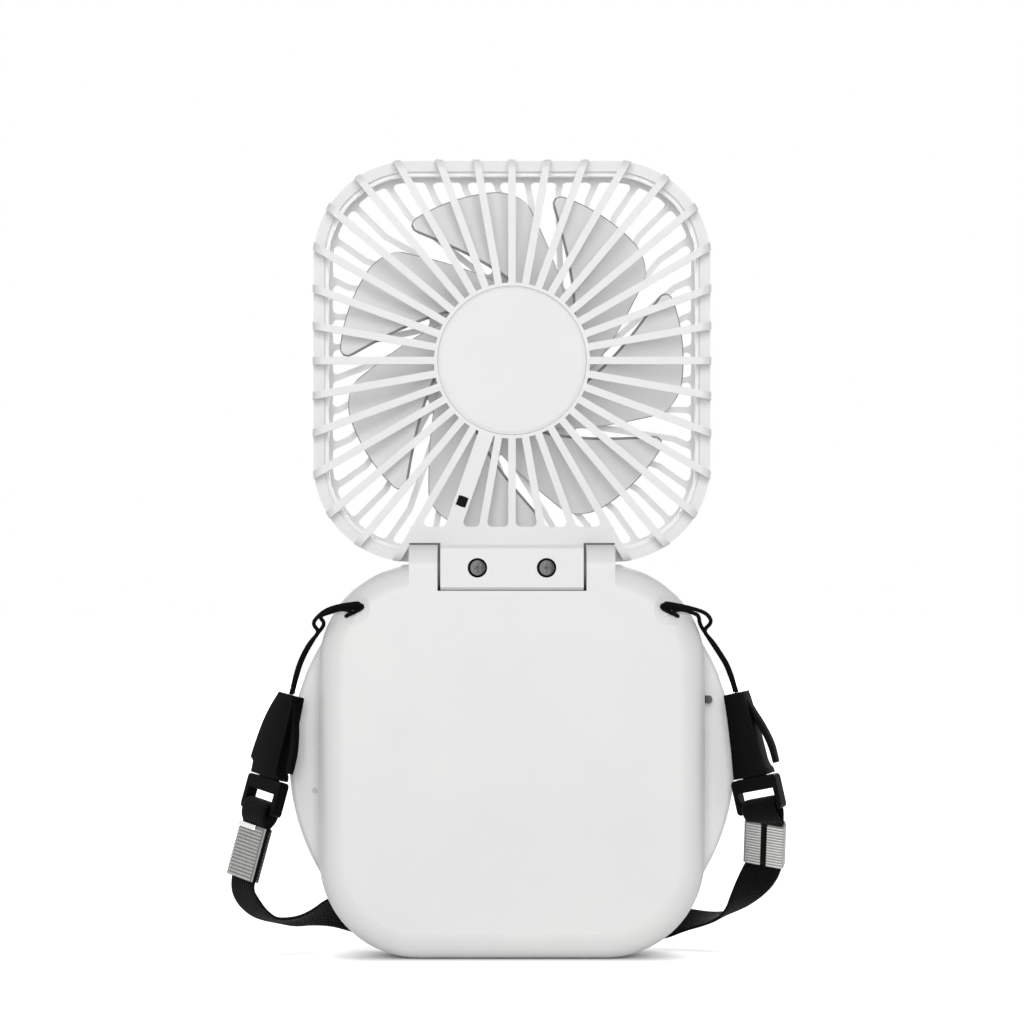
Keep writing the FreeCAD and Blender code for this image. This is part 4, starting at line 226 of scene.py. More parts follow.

# The CAD ferrules take the darker copy of the steel: painted shade between the ribs
slotMaterials = {
    "white_plastic": whitePlastic, "blade_plastic": bladePlastic, "black_plastic": blackPlastic,
    "crimp_steel": grooveShadeSteel, "steel": brightSteel, "lamination_steel": laminationSteel,
    "copper_wire": copperWire, "bronze": bronze, "magnet": ferrite, "lead_sleeve": leadSleeveAndRingShade,
    "battery_foil": batteryFoil, "board_laminate": boardLaminate, "clear_light": lightGuide}
# The front guard and the round back take the lighter copy of the white: painted light
nodeMaterials = {"front_guard": lightenedWhitePlastic, "rear_cover": lightenedWhitePlastic}
weaveLook = {"sheenRough": 0.5, "specular": 0.07, "stagger": 0.5, "floatLow": 0.45, "fuzzMm": 0.35,
             "fuzzDetail": 2.0, "fuzzShare": 0.25, "tones": (0.1, 0.95), "bumpMm": 0.25}


def webbingMaterial(name, weave):
    # Woven flat: rows of warp yarn along it, floats staggered from row to row, slight fuzz; the colour goes
    # darker in the low places of the weave, painted shade
    material, tree, shader = newMaterial(
        name, Roughness=weave["rough"], Sheen_Weight=weave["sheen"], Sheen_Roughness=weaveLook["sheenRough"],
        Specular_IOR_Level=weaveLook["specular"])
    place = addNode(tree, "ShaderNodeUVMap", uv_map="UVMap").outputs["UV"]
    parts = addNode(tree, "ShaderNodeSeparateXYZ", links={"Vector": place}).outputs
    row = mathNode(tree, "MULTIPLY", parts["Y"], 1 / (weave["warpMm"] * mm))
    stagger = mathNode(tree, "MULTIPLY", mathNode(tree, "FLOOR", row), weaveLook["stagger"])
    along = mathNode(tree, "MULTIPLY_ADD", parts["X"], 1 / (weave["floatMm"] * mm), stagger)
    floats = mathNode(tree, "SINE", mathNode(tree, "MULTIPLY", along, 2 * math.pi))
    yarn = mathNode(tree, "ABSOLUTE", mathNode(tree, "SINE", mathNode(tree, "MULTIPLY", row, math.pi)))
    lift = addNode(tree, "ShaderNodeMapRange", {"From Min": -1.0, "To Min": weaveLook["floatLow"]},
                   {"Value": floats})
    height = mathNode(tree, "MULTIPLY", yarn, lift.outputs["Result"])
    fuzz = noiseNode(tree, place, weaveLook["fuzzMm"], weaveLook["fuzzDetail"])
    cloth = mathNode(tree, "MULTIPLY_ADD", fuzz, weaveLook["fuzzShare"], height)
    twoTone(tree, shader, cloth, weave, weaveLook["tones"])
    bump = addNode(tree, "ShaderNodeBump", {"Strength": weave["bump"], "Distance": weaveLook["bumpMm"] * mm},
                   {"Height": cloth})
    tree.links.new(bump.outputs["Normal"], shader.inputs["Normal"])
    return material


# Polyester lanyard webbing, and the braided nylon cord that carries it
blackWebbing = webbingMaterial("black_polyester_webbing", {
    "colour": "#0B0B0C", "shade": "#030304", "warpMm": 0.78, "floatMm": 1.3, "rough": 0.8, "sheen": 0.05,
    "bump": 0.7})
blackCord = webbingMaterial("black_braided_nylon", {
    "colour": "#121213", "shade": "#050506", "warpMm": 0.34, "floatMm": 0.9, "rough": 0.7, "sheen": 0.03,
    "bump": 0.6})
print("webbing and cord finishes made")

for part in frame["record"]["subparts"]:
    finish = nodeMaterials.get(part["node"]) or slotMaterials.get(part["material_slot"], blackPlastic)
    nodes[part["node"]].data.materials.clear()
    nodes[part["node"]].data.materials.append(finish)
print("CAD nodes painted")


def addPiece(name, data):
    piece = bpy.data.objects.new(name, data)
    scene.collection.objects.link(piece)
    return piece


def shadeSmooth(mesh, sharpDegrees=None):
    mesh.polygons.foreach_set("use_smooth", [True] * len(mesh.polygons))
    if sharpDegrees:
        mesh.set_sharp_from_angle(angle=math.radians(sharpDegrees))


def curveThrough(name, kind, lines, resolution):
    # Curve with one spline of the kind for each line of points, in millimetres
    data = bpy.data.curves.new(name, "CURVE")
    data.dimensions = "3D"
    data.resolution_u = resolution
    for points in lines:
        spline = data.splines.new(kind)
        spline.points.add(len(points) - 1)
        for slot, point in zip(spline.points, points):
            slot.co = (*(Vector(point) * mm), 1.0)
    return addPiece(name, data)


def routeCurve(name, points, resolution):
    # Smooth line with the route's points as its control points
    curve = curveThrough(name, "NURBS", [points], resolution)
    curve.data.splines[0].order_u = 3
    curve.data.splines[0].use_endpoint_u = True
    return curve


def outlineCurve(name, outlines, closed):
    # Straight-sided curve through each outline's points
    curve = curveThrough(name, "POLY", outlines, 1)
    for spline in curve.data.splines:
        spline.use_cyclic_u = closed
    return curve


def lineOf(curve):
    # Points of the smooth line, in metres, read from the evaluated curve
    bpy.context.view_layer.update()
    mesh = bpy.data.meshes.new_from_object(curve.evaluated_get(bpy.context.evaluated_depsgraph_get()))
    line = [v.co.copy() for v in mesh.vertices]
    bpy.data.meshes.remove(mesh)
    return line


def smoothLine(name, points, resolution):
    curve = routeCurve(name, points, resolution)
    line = lineOf(curve)
    bpy.data.objects.remove(curve)
    return line


def lengthOf(line):
    return sum((b - a).length for a, b in zip(line, line[1:]))


def meshFrom(name, points, faces, uvs, material):
    mesh = bpy.data.meshes.new(name)
    mesh.from_pydata(points, [], faces)
    layer = mesh.uv_layers.new(name="UVMap")
    for polygon in mesh.polygons:
        for loop in polygon.loop_indices:
            layer.data[loop].uv = uvs[polygon.index][loop - polygon.loop_start]
    mesh.materials.append(material)
    shadeSmooth(mesh)
    return addPiece(name, mesh)


def bandSection(webbing):
    # Once round the band's section: rounded selvedges, faint lengthwise ribs
    upper = []
    for step in range(webbing["columns"] + 1):
        across = -1 + 2 * step / webbing["columns"]
        bulge = (1 - abs(across) ** webbing["selvedge"]) ** 0.5
        rib = 1 - webbing["ribDepth"] * (1 - abs(math.sin(math.pi * step / 2)))
        upper.append((across, bulge * rib))
    return upper + [(across, -height) for across, height in reversed(upper[1:-1])]


def webbingBand(name, middles, widths, webbing, material):
    # Flat woven band along its middle line, turned to face between its two edge lines
    half = webbing["widthMm"] / 2
    edges = []
    for side in (-1, 1):
        edge = [Vector(m) + Vector(w).normalized() * half * side for m, w in zip(middles, widths)]
        edges.append(smoothLine(name + "_edge", edge, webbing["resolution"]))
    middle = smoothLine(name + "_route", middles, webbing["resolution"])
    ring = bandSection(webbing)
    points = []
    rows = []
    travelled = 0.0
    for index in range(len(middle)):
        before = middle[max(index - 1, 0)]
        after = middle[min(index + 1, len(middle) - 1)]
        along = (after - before).normalized()
        wide = edges[1][index] - edges[0][index]
        wide = (wide - along * wide.dot(along)).normalized()
        normal = along.cross(wide)
        if index:
            travelled += (middle[index] - middle[index - 1]).length
        rows.append(travelled)
        for across, height in ring:
            points.append(middle[index] + wide * across * half * mm
                          + normal * height * webbing["thickMm"] / 2 * mm)
    count = len(ring)
    faces = []
    uvs = []
    for index in range(len(middle) - 1):
        for step in range(count):
            after = (step + 1) % count
            faces.append((index * count + step, index * count + after,
                          (index + 1) * count + after, (index + 1) * count + step))
            low = ring[step][0] * half * mm
            high = ring[after][0] * half * mm
            here, there = rows[index], rows[index + 1]
            uvs.append(((here, low), (here, high), (there, high), (there, low)))
    for index, order in ((0, -1), (len(middle) - 1, 1)):
        cap = [index * count + step for step in range(count)][::order]
        faces.append(tuple(cap))
        uvs.append(tuple((rows[index], ring[step - index * count][0] * half * mm) for step in cap))
    piece = meshFrom(name, points, faces, uvs, material)
    print(name, "length mm", round(travelled / mm, 1))
    return piece, middle, travelled


# Lanyard sizes and places, in millimetres and degrees, as the solids have them
buckles = {
    "left": {"top": (-53.3, -5.0, 63.3), "tilt": 15.0, "twist": -46.0, "back": 0.0, "turn": 0.0,
             "drop": 0.0},
    "right": {"top": (54.2, -5.0, 63.8), "tilt": -12.5, "twist": -27.0, "back": 30.0, "turn": 25.0,
              "drop": 2.6}}
hands = {"left": -1, "right": 1}
barZ = -28.4
ferruleTop = -32.7
ferruleLow = -45.9
strapLay = 0.46  # each layer of the fold from the middle of the ferrule
for side in buckles.values():
    place = Matrix.Translation(side["top"]) @ Matrix.Rotation(math.radians(side["tilt"]), 4, "Y")
    place = place @ Matrix.Rotation(math.radians(side["twist"]), 4, "Z")
    side["place"] = place
    swing = Matrix.Translation((0, 0, barZ)) @ Matrix.Rotation(math.radians(side["back"]), 4, "X")
    side["fold"] = place @ swing @ Matrix.Translation((0, 0, -barZ))
    lean = Matrix.Translation((0, 0, -side["drop"])) @ Matrix.Rotation(math.radians(side["turn"]), 4, "Y")
    side["hang"] = place @ swing @ lean @ Matrix.Translation((0, 0, side["drop"] - barZ))

webbingSizes = {"widthMm": 8.8, "thickMm": 0.9, "columns": 24, "ribDepth": 0.08, "selvedge": 7,
                "resolution": 10}
strapOut = (0.05, 1.8)  # straight length below the ferrule, from and to
up = (0, 0, 1)
rollRise = 4.42
rollStart = (2.03, 18.4, rollRise)
rollEnd = (-27.0, 43.37, rollRise)
strapRoutes = {
    "left": {
        "middles": [(-64.4, -3.3, 13.84), (-61.8, -1.6, 10.43), (-59.0, 0.6, 8.53), (-54.2, 4.2, 8.06),
                    (-50.6, 7.4, 8.34), (-46.6, 12.0, 9.58), (-42.8, 17.2, 9.58), (-39.4, 22.8, 8.15),
                    (-35.4, 28.8, 6.32), (-30.9, 34.6, 4.67), (-27.35, 39.4, rollRise),
                    (-27.0, 42.8, rollRise), rollEnd],
        "widths": [(0.74, -0.66, 0.02), (0.68, -0.73, 0.03), (0.64, -0.77, 0.02), (0.55, -0.8, 0.22),
                   (0.42, -0.74, 0.5), (0.3, -0.55, 0.77), (0.15, -0.35, 0.92), (0.05, -0.15, 0.98),
                   up, up, up, up, up]},
    "right": {
        "middles": [(57.0, 8.0, 13.88), (54.8, 9.8, 10.58), (51.5, 11.8, 8.37), (47.4, 13.9, 7.43),
                    (43.0, 15.8, 7.12), (37.5, 17.3, 6.54), (31.0, 18.0, 5.66), (23.0, 18.2, 4.70),
                    (12.0, 18.05, rollRise), (3.0, 18.4, rollRise), rollStart],
        "widths": [(0.87, 0.45, 0.0), (0.6, 0.75, 0.05), (0.42, 0.89, 0.18), (0.42, 0.84, 0.34),
                   (0.32, 0.75, 0.58), (0.15, 0.4, 0.9), (0.05, 0.12, 0.99), up, up, up, up]}}


def acrossAt(points, widths):
    # Each width turned square to the line there
    squared = []
    for index, width in enumerate(widths):
        along = (points[min(index + 1, len(points) - 1)] - points[max(index - 1, 0)]).normalized()
        wide = Vector(width)
        squared.append((wide - along * wide.dot(along)).normalized())
    return squared


for side, route in strapRoutes.items():
    hang = buckles[side]["hang"]
    firstWide = hang.to_3x3() @ Vector((1, 0, 0))
    middles = [hang @ Vector((0, strapLay, ferruleLow - out)) for out in strapOut]
    middles += [Vector(m) for m in route["middles"]]
    widths = acrossAt(middles, [firstWide, firstWide] + route["widths"])
    strap, line, length = webbingBand(side + "Strap", middles, widths, webbingSizes, blackWebbing)
    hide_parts(side + "_strap")
    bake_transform(strap)

# Folded end of the strap over the plug's bar, down into the ferrule
foldRound = [(-2.2, -2.2), (-2.15, 1.8), (2.15, 1.8), (2.2, -2.2)]  # about the bar, across and up
foldDepth = 4
foldRise = 0.2
for side, buckle in buckles.items():
    fold = buckle["fold"]
    hang = buckle["hang"]
    heights = (ferruleLow, ferruleTop - foldDepth, ferruleTop + foldRise)
    middles = [hang @ Vector((0, -strapLay, z)) for z in heights]
    middles += [fold @ Vector((0, y, barZ + z)) for y, z in foldRound]
    middles += [hang @ Vector((0, strapLay, z)) for z in reversed(heights)]
    hangWide = hang.to_3x3() @ Vector((1, 0, 0))
    barWide = fold.to_3x3() @ Vector((1, 0, 0))
    widths = [hangWide] * len(heights) + [barWide] * len(foldRound) + [hangWide] * len(heights)
    loop = webbingBand(side + "StrapLoop", middles, widths, webbingSizes, blackWebbing)[0]
    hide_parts(side + "_strap_loop")
    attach(loop, side + "_plug")
print("straps made")

# Spare strap, rolled on edge behind the base: half circles about two centres, an S in the middle
roll = {"centre": (0.0, 43.4), "inner": 9.0, "pitch": 4.0, "halfTurns": 5, "stepDegrees": 22.5}


def rollPoints(sizes):
    pitch = sizes["pitch"]
    outward = []
    inward = []
    for index in range(sizes["halfTurns"]):
        side = -1 if index % 2 == 0 else 1
        radius = sizes["inner"] + index * pitch
        outward.append((side * pitch / 2, radius, 0 if side < 0 else 180, 180))
        last = index == sizes["halfTurns"] - 1
        inward.append((-side * pitch / 2, radius, 180 if side < 0 else 0, 90 if last else 180))
    small = (sizes["inner"] - pitch / 2) / 2
    arcs = [(c, r, start + sweep, -sweep) for c, r, start, sweep in reversed(inward)]
    arcs += [(-small, small, 180, -180), (small, small, 180, 180)] + outward
    points = []
    for centre, radius, start, sweep in arcs:
        count = max(round(abs(sweep) / sizes["stepDegrees"]), 2)
        reach = radius / math.cos(math.radians(sweep / count / 2))
        for step in range(count):
            angle = math.radians(start + sweep * (step + 0.5) / count)
            points.append((centre + reach * math.cos(angle), reach * math.sin(angle)))
    return points


rollMiddles = [Vector(rollStart)]
rollMiddles += [Vector((roll["centre"][0] + x, roll["centre"][1] + y, rollRise)) for x, y in rollPoints(roll)]
rollMiddles.append(Vector(rollEnd))
rollWidths = [Vector(up)] * len(rollMiddles)
rollSizes = dict(webbingSizes, resolution=4, columns=16)
rolled, line, length = webbingBand("rolledStrap", rollMiddles, rollWidths, rollSizes, blackWebbing)
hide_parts("strap_roll")
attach(rolled, "base")
print("spare strap rolled")


def geometryTree(name, sockets):
    tree = bpy.data.node_groups.new(name, "GeometryNodeTree")
    for socketName, kind in sockets.items():
        tree.interface.new_socket(socketName, in_out="INPUT", socket_type="NodeSocket" + kind)
    tree.interface.new_socket("Geometry", in_out="OUTPUT", socket_type="NodeSocketGeometry")
    return tree, addNode(tree, "NodeGroupInput").outputs, addNode(tree, "NodeGroupOutput").inputs


def shapeOf(tree, socket):
    info = addNode(tree, "GeometryNodeObjectInfo", links={"Object": socket}, transform_space="ORIGINAL")
    return info.outputs["Geometry"]


def cylinderNode(tree, sides, radius, depth):
    links = {"Radius": radius, "Depth": depth}
    return addNode(tree, "GeometryNodeMeshCylinder", {"Vertices": sides}, links).outputs["Mesh"]


def circleNode(tree, points, radius):
    circle = addNode(tree, "GeometryNodeCurvePrimitiveCircle", {"Resolution": points}, {"Radius": radius})
    return circle.outputs["Curve"]


def sweptNode(tree, curve, profile):
    links = {"Curve": curve, "Profile Curve": profile}
    return addNode(tree, "GeometryNodeCurveToMesh", {"Fill Caps": True}, links).outputs["Mesh"]


def shiftedNode(tree, geometry, **axes):
    links = {"Geometry": geometry, "Translation": axisNode(tree, **axes)}
    return addNode(tree, "GeometryNodeTransform", links=links).outputs["Geometry"]


def rotationNode(tree, **axes):
    links = {"Euler": axisNode(tree, **axes)}
    return addNode(tree, "FunctionNodeEulerToRotation", links=links).outputs["Rotation"]


def copiesNode(tree, points, shape, **sockets):
    links = {"Points": points, "Instance": shape, **sockets}
    return addNode(tree, "GeometryNodeInstanceOnPoints", links=links).outputs["Instances"]


def cutNode(tree, body, tools):
    cut = addNode(tree, "GeometryNodeMeshBoolean", links={"Mesh 1": body}, operation="DIFFERENCE")
    for tool in tools:
        tree.links.new(tool, cut.inputs["Mesh 2"])
    return cut.outputs["Mesh"]


def joinNode(tree, parts):
    join = addNode(tree, "GeometryNodeJoinGeometry")
    for part in parts:
        tree.links.new(part, join.inputs["Geometry"])
    return join.outputs["Geometry"]


def realNode(tree, geometry):
    return addNode(tree, "GeometryNodeRealizeInstances", links={"Geometry": geometry}).outputs["Geometry"]


def paintNode(tree, geometry, material, **sockets):
    links = {"Geometry": geometry, "Material": material, **sockets}
    return addNode(tree, "GeometryNodeSetMaterial", links=links).outputs["Geometry"]


def bakeTree(name, tree, settings, sharpDegrees=None):
    # Runs the tree on an empty mesh and keeps what it makes as a plain mesh
    carrier = addPiece(name + "_carrier", bpy.data.meshes.new(name + "_carrier"))
    modifier = carrier.modifiers.new("nodes", "NODES")
    modifier.node_group = tree
    for item in tree.interface.items_tree:
        if item.in_out == "INPUT":
            modifier[item.identifier] = settings[item.name]
    bpy.context.view_layer.update()
    mesh = bpy.data.meshes.new_from_object(carrier.evaluated_get(bpy.context.evaluated_depsgraph_get()))
    carrier.modifiers.remove(modifier)
    bpy.data.objects.remove(carrier)
    mesh.name = name
    shadeSmooth(mesh, sharpDegrees)
    return addPiece(name, mesh)


# Braided cord: strands wound both ways round a core along the route
cordSizes = {"diameterMm": 1.0, "strandMm": 0.28, "strands": 5, "layMm": 4.0, "stepMm": 0.28,
             "strandSides": 6, "coreSides": 10, "resolution": 16, "hitchResolution": 6}
braidTree, braidIn, braidOut = geometryTree("braidedCord", {
    "Route": "Object", "Cord Radius": "Float", "Strand Radius": "Float", "Strands": "Int",
    "Lay Length": "Float", "Step": "Float", "Material": "Material"})
braidLine = addNode(braidTree, "GeometryNodeResampleCurve", links={
    "Curve": shapeOf(braidTree, braidIn["Route"]), "Length": braidIn["Step"]}, mode="LENGTH").outputs["Curve"]
braidAlong = addNode(braidTree, "GeometryNodeSplineParameter").outputs["Length"]
braidTurns = mathNode(braidTree, "DIVIDE", braidAlong, braidIn["Lay Length"])
braidAngle = mathNode(braidTree, "MULTIPLY", braidTurns, 2 * math.pi)
braidBack = mathNode(braidTree, "MULTIPLY", braidAngle, -1.0)
strandOffset = mathNode(braidTree, "SUBTRACT", braidIn["Cord Radius"], braidIn["Strand Radius"])
strandSeats = addNode(braidTree, "GeometryNodeMeshCircle", links={
    "Vertices": braidIn["Strands"], "Radius": strandOffset}).outputs["Mesh"]
strandShape = circleNode(braidTree, cordSizes["strandSides"], braidIn["Strand Radius"])
strandProfile = realNode(braidTree, copiesNode(braidTree, strandSeats, strandShape))
braidParts = []
for angle in (braidAngle, braidBack):
    wound = addNode(braidTree, "GeometryNodeSetCurveTilt", links={"Curve": braidLine, "Tilt": angle})
    braidParts.append(sweptNode(braidTree, wound.outputs["Curve"], strandProfile))
coreShape = circleNode(braidTree, cordSizes["coreSides"], strandOffset)
braidParts.append(sweptNode(braidTree, braidLine, coreShape))
braidReal = realNode(braidTree, joinNode(braidTree, braidParts))
braidTree.links.new(paintNode(braidTree, braidReal, braidIn["Material"]), braidOut["Geometry"])

cordRoutes = {
    "left": [(-53.45, -5.36, 63.42), (-52.15, -5.36, 69.2), (-50.5, -5.6, 73.2), (-48.7, -6.6, 76.2),
             (-46.3, -8.4, 78.6), (-48.2, -9.6, 80.6), (-46.3, -11.8, 82.8), (-44.2, -13.8, 84.2),
             (-41.2, -15.2, 85.1), (-36.9, -15.4, 85.7), (-36.87, -11.7, 85.33), (-39.13, -11.7, 83.07),
             (-38.6, -15.3, 83.8), (-40.8, -14.6, 84.3), (-43.7, -13.0, 83.4), (-46.6, -10.4, 82.4),
             (-44.9, -8.4, 80.6), (-47.3, -6.6, 77.8), (-48.4, -5.3, 76.0), (-50.1, -4.8, 73.1),
             (-51.75, -4.64, 69.1), (-53.05, -4.64, 63.42)],
    "right": [(54.35, -5.36, 63.92), (52.75, -5.36, 69.6), (50.4, -5.6, 73.4), (48.5, -6.6, 76.2),
              (45.9, -8.4, 78.9), (48.3, -9.6, 80.9), (46.9, -11.8, 83.1), (44.2, -13.8, 84.1),
              (41.2, -15.2, 84.9), (36.9, -15.4, 85.7), (36.87, -11.7, 85.33), (39.13, -11.7, 83.07),
              (38.6, -15.3, 83.8), (40.8, -14.6, 84.2), (43.4, -13.0, 83.3), (45.0, -10.6, 82.6),
              (45.2, -8.6, 80.5), (46.9, -6.6, 78.0), (48.2, -5.3, 76.0), (50.0, -4.8, 73.3),
              (52.35, -4.64, 69.5), (53.95, -4.64, 63.92)]}
# Hitch on the shoulder: the cord comes up out of the pod, turns at the inner end and lies along both runs
hitchRoute = [(39.9, -11.9, 82.2), (39.9, -13.6, 82.6), (38.2, -14.4, 83.3), (36.6, -14.6, 84.1),
              (35.7, -14.6, 84.8), (36.3, -14.9, 85.3), (38.5, -15.2, 85.2), (41.0, -15.0, 84.7),
              (41.6, -14.2, 84.2), (39.0, -14.6, 84.3), (36.9, -14.4, 84.7), (36.5, -12.4, 84.9)]


def braided(name, points, resolution):
    curve = routeCurve(name + "Route", points, resolution)
    line = lineOf(curve)
    piece = bakeTree(name, braidTree, {
        "Route": curve, "Cord Radius": cordSizes["diameterMm"] / 2 * mm,
        "Strand Radius": cordSizes["strandMm"] / 2 * mm, "Strands": cordSizes["strands"],
        "Lay Length": cordSizes["layMm"] * mm, "Step": cordSizes["stepMm"] * mm, "Material": blackCord})
    bpy.data.objects.remove(curve)
    return piece, line


for side, points in cordRoutes.items():
    cord, line = braided(side + "Cord", points, cordSizes["resolution"])
    length = lengthOf(line)
    hitchPoints = [(hands[side] * x, y, z) for x, y, z in hitchRoute]
    knot, knotLine = braided(side + "CordHitch", hitchPoints, cordSizes["hitchResolution"])
    knotLength = lengthOf(knotLine)
    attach(knot, "base")
    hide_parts(side + "_cord")
    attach(cord, "base")
    print(side, "cord length mm", round(length / mm, 1), "and its hitch", round(knotLength / mm, 1))

# Moulded pad that closes each shoulder scoop to a shallow dish: the cord's turns stand on white plastic
pad = {"middleMm": (38.0, 84.2), "radiusMm": 4.15, "sinkMm": 0.45, "underMm": 0.04, "thickMm": 0.8,
       "rings": 10, "spokes": 64, "cornerMm": (22.5, 70.6), "cornerRadiusMm": 24.0, "edgeMm": 6.0,
       "frontMm": -14.0, "keepInMm": 0.7, "sharpDegrees": 40}


def padPoints(sizes, hand, lift):
    corner = Vector((hand * sizes["cornerMm"][0], sizes["cornerMm"][1]))
    start = Vector((hand * sizes["middleMm"][0], sizes["middleMm"][1])) - corner
    limit = sizes["cornerRadiusMm"] - sizes["keepInMm"]
    points = []
    for ring in range(sizes["rings"] + 1):
        share = ring / sizes["rings"]
        for spoke in range(sizes["spokes"] if ring else 1):
            angle = 2 * math.pi * spoke / sizes["spokes"]
            along = Vector((math.cos(angle), math.sin(angle)))
            lean = start.dot(along)
            reach = math.sqrt(lean ** 2 + limit ** 2 - start.length_squared) - lean
            place = start + along * min(sizes["radiusMm"], reach) * share
            # The pod's front falls away round its edge
            fall = max(sizes["edgeMm"] - sizes["cornerRadiusMm"] + place.length, 0)
            front = sizes["frontMm"] + sizes["edgeMm"] - math.sqrt(sizes["edgeMm"] ** 2 - fall ** 2)
            depth = front + sizes["underMm"] + sizes["sinkMm"] * (1 - share ** 2) + lift
            place += corner
            points.append(Vector((place.x, depth, place.y)) * mm)
    return points


def padFaces(sizes):
    spokes = sizes["spokes"]
    back = 1 + sizes["rings"] * spokes
    edge = back - spokes
    faces = []
    for spoke in range(spokes):
        after = (spoke + 1) % spokes
        front = [(0, 1 + spoke, 1 + after)]
        for near in range(1, edge, spokes):
            far = near + spokes
            front.append((near + spoke, far + spoke, far + after, near + after))
        faces += front
        faces += [tuple(back + index for index in reversed(face)) for face in front]
        faces.append((edge + spoke, edge + back + spoke, edge + back + after, edge + after))
    return faces


for side, hand in hands.items():
    points = padPoints(pad, hand, 0) + padPoints(pad, hand, pad["thickMm"])
    faces = padFaces(pad)
    uvs = [[(points[index].x / mm, points[index].z / mm) for index in face] for face in faces]
    piece = meshFrom(side + "ShoulderPad", points, faces, uvs, whitePlastic)
    piece.data.set_sharp_from_angle(angle=math.radians(pad["sharpDegrees"]))
    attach(piece, "base")
print("shoulder pads made")

# Round beads along an outline, repeated at a pitch: the ferrules' ribs, the rim's weld and the screws' rings
beadSides = 8
ribTree, ribIn, ribOut = geometryTree("outlineBeads", {
    "Outline": "Object", "Rib Radius": "Float", "Pitch": "Float", "Count": "Int", "Material": "Material"})
ribShape = circleNode(ribTree, beadSides, ribIn["Rib Radius"])
ribMesh = sweptNode(ribTree, shapeOf(ribTree, ribIn["Outline"]), ribShape)
ribSeats = addNode(ribTree, "GeometryNodeMeshLine", links={
    "Count": ribIn["Count"], "Offset": axisNode(ribTree, Z=ribIn["Pitch"])}, mode="OFFSET").outputs["Mesh"]
ribReal = realNode(ribTree, copiesNode(ribTree, ribSeats, ribMesh))
ribTree.links.new(paintNode(ribTree, ribReal, ribIn["Material"]), ribOut["Geometry"])


def arcPoints(cx, cy, radius, start, sweep, count):
    points = []
    for step in range(count + 1):
        angle = math.radians(start + sweep * step / count)
        points.append((cx + radius * math.cos(angle), cy + radius * math.sin(angle)))
    return points


def beads(name, curve, sizes, count, material, body):
    piece = bakeTree(name, ribTree, {
        "Outline": curve, "Rib Radius": sizes["ribMm"] * mm, "Pitch": sizes["pitchMm"] * mm, "Count": count,
        "Material": material})
    bpy.data.objects.remove(curve)
    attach(piece, body)
    return piece


def inMetres(place):
    # The same place with its shift in metres, for a mesh that is in metres already
    moved = place.copy()
    moved.translation = moved.translation * mm
    return moved


# Pressed ribs round each ferrule, open at its seam
ferrule = {"halfWidthMm": 4.7, "halfDepthMm": 1.15, "cornerMm": 0.45, "seamMm": 1.5, "ribMm": 0.36,
           "pitchMm": 0.85, "marginMm": 0.4, "cornerSteps": 3, "seams": {"left": "edge", "right": "front"}}


def ferruleOutline(sizes, seam):
    # From one lip of the seam round to the other
    x, y, r = sizes["halfWidthMm"], sizes["halfDepthMm"], sizes["cornerMm"]
    corners = [(x - r, -y + r, -90), (x - r, y - r, 0), (-x + r, y - r, 90), (-x + r, -y + r, 180)]
    lips = [(sizes["seamMm"] / 2, -y), (-sizes["seamMm"] / 2, -y)]
    if seam == "edge":
        corners = corners[2:]
        lips = [(x - r, y), (x - r, -y)]
    points = [lips[0]]
    for cx, cy, start in corners:
        points += arcPoints(cx, cy, r, start, 90, sizes["cornerSteps"])
    return points + [lips[1]]


for side, buckle in buckles.items():
    seam = ferrule["seams"][side]
    outline = [(x, y, ferruleLow + ferrule["marginMm"]) for x, y in ferruleOutline(ferrule, seam)]
    count = int((ferruleTop - ferruleLow - 2 * ferrule["marginMm"]) / ferrule["pitchMm"]) + 1
    ribCurve = outlineCurve("ferruleOutline", [outline], False)
    ribs = beads(side + "FerruleRibs", ribCurve, ferrule, count, crimpSteel, side + "_plug")
    ribs.data.transform(inMetres(buckle["hang"]))
print("ferrule ribs made")

# Buckle sleeves: tapered body, and a slim bowed release arm that stands clear of its flank
sleeve = {"backFlank": {
              "left": [(-2.6, 0), (-4.0, -3), (-5.4, -7.5), (-6.0, -12), (-6.4, -16.4), (-6.3, -17.4),
                       (-5.2, -17.7), (-5.0, -19.0), (-4.9, -20.6)],
              "right": [(-2.6, 0), (-2.8, -4), (-3.3, -8.5), (-3.9, -14), (-4.5, -18.0), (-4.9, -20.6)]},
          "armFlank": [(4.7, -20.6), (4.7, -19.4), (3.7, -18.4), (3.55, -14), (3.4, -9), (3.1, -4.5),
                       (2.6, 0)],
          "armOuter": [(2.5, -1.0), (3.6, -4.2), (5.5, -8.6), (6.8, -13.2), (7.0, -16.2), (6.95, -18.35)],
          "armInner": [(5.85, -18.35), (5.8, -16.0), (5.3, -12.6), (4.2, -9.4), (3.1, -6.6), (2.4, -4.6)],
          "halfDepthMm": 2.2, "armHalfDepthMm": 1.0, "roundMm": 0.5, "armRoundMm": 0.25, "resolution": 5}
slabLook = {"roundSteps": 3, "sharpDegrees": 32}


def smoothed(points):
    line = smoothLine("sleeveLine", [(x, 0, z) for x, z in points], sleeve["resolution"])
    return [(point.x / mm, point.z / mm) for point in line]


def slab(shape, outline, low, high, roundMm):
    # Closed prism across y with rounded face edges, added to shape
    ends = [[shape.verts.new((x * mm, y * mm, z * mm)) for x, z in outline] for y in (low, high)]
    faces = [shape.faces.new(ends[0]), shape.faces.new(ends[1][::-1])]
    edges = list(faces[0].edges) + list(faces[1].edges)
    for index in range(len(outline)):
        after = (index + 1) % len(outline)
        faces.append(shape.faces.new((ends[0][after], ends[0][index], ends[1][index], ends[1][after])))
    bmesh.ops.recalc_face_normals(shape, faces=faces)
    bmesh.ops.bevel(shape, geom=edges, offset=roundMm * mm, segments=slabLook["roundSteps"], affect="EDGES",
                    profile=0.5, clamp_overlap=True)


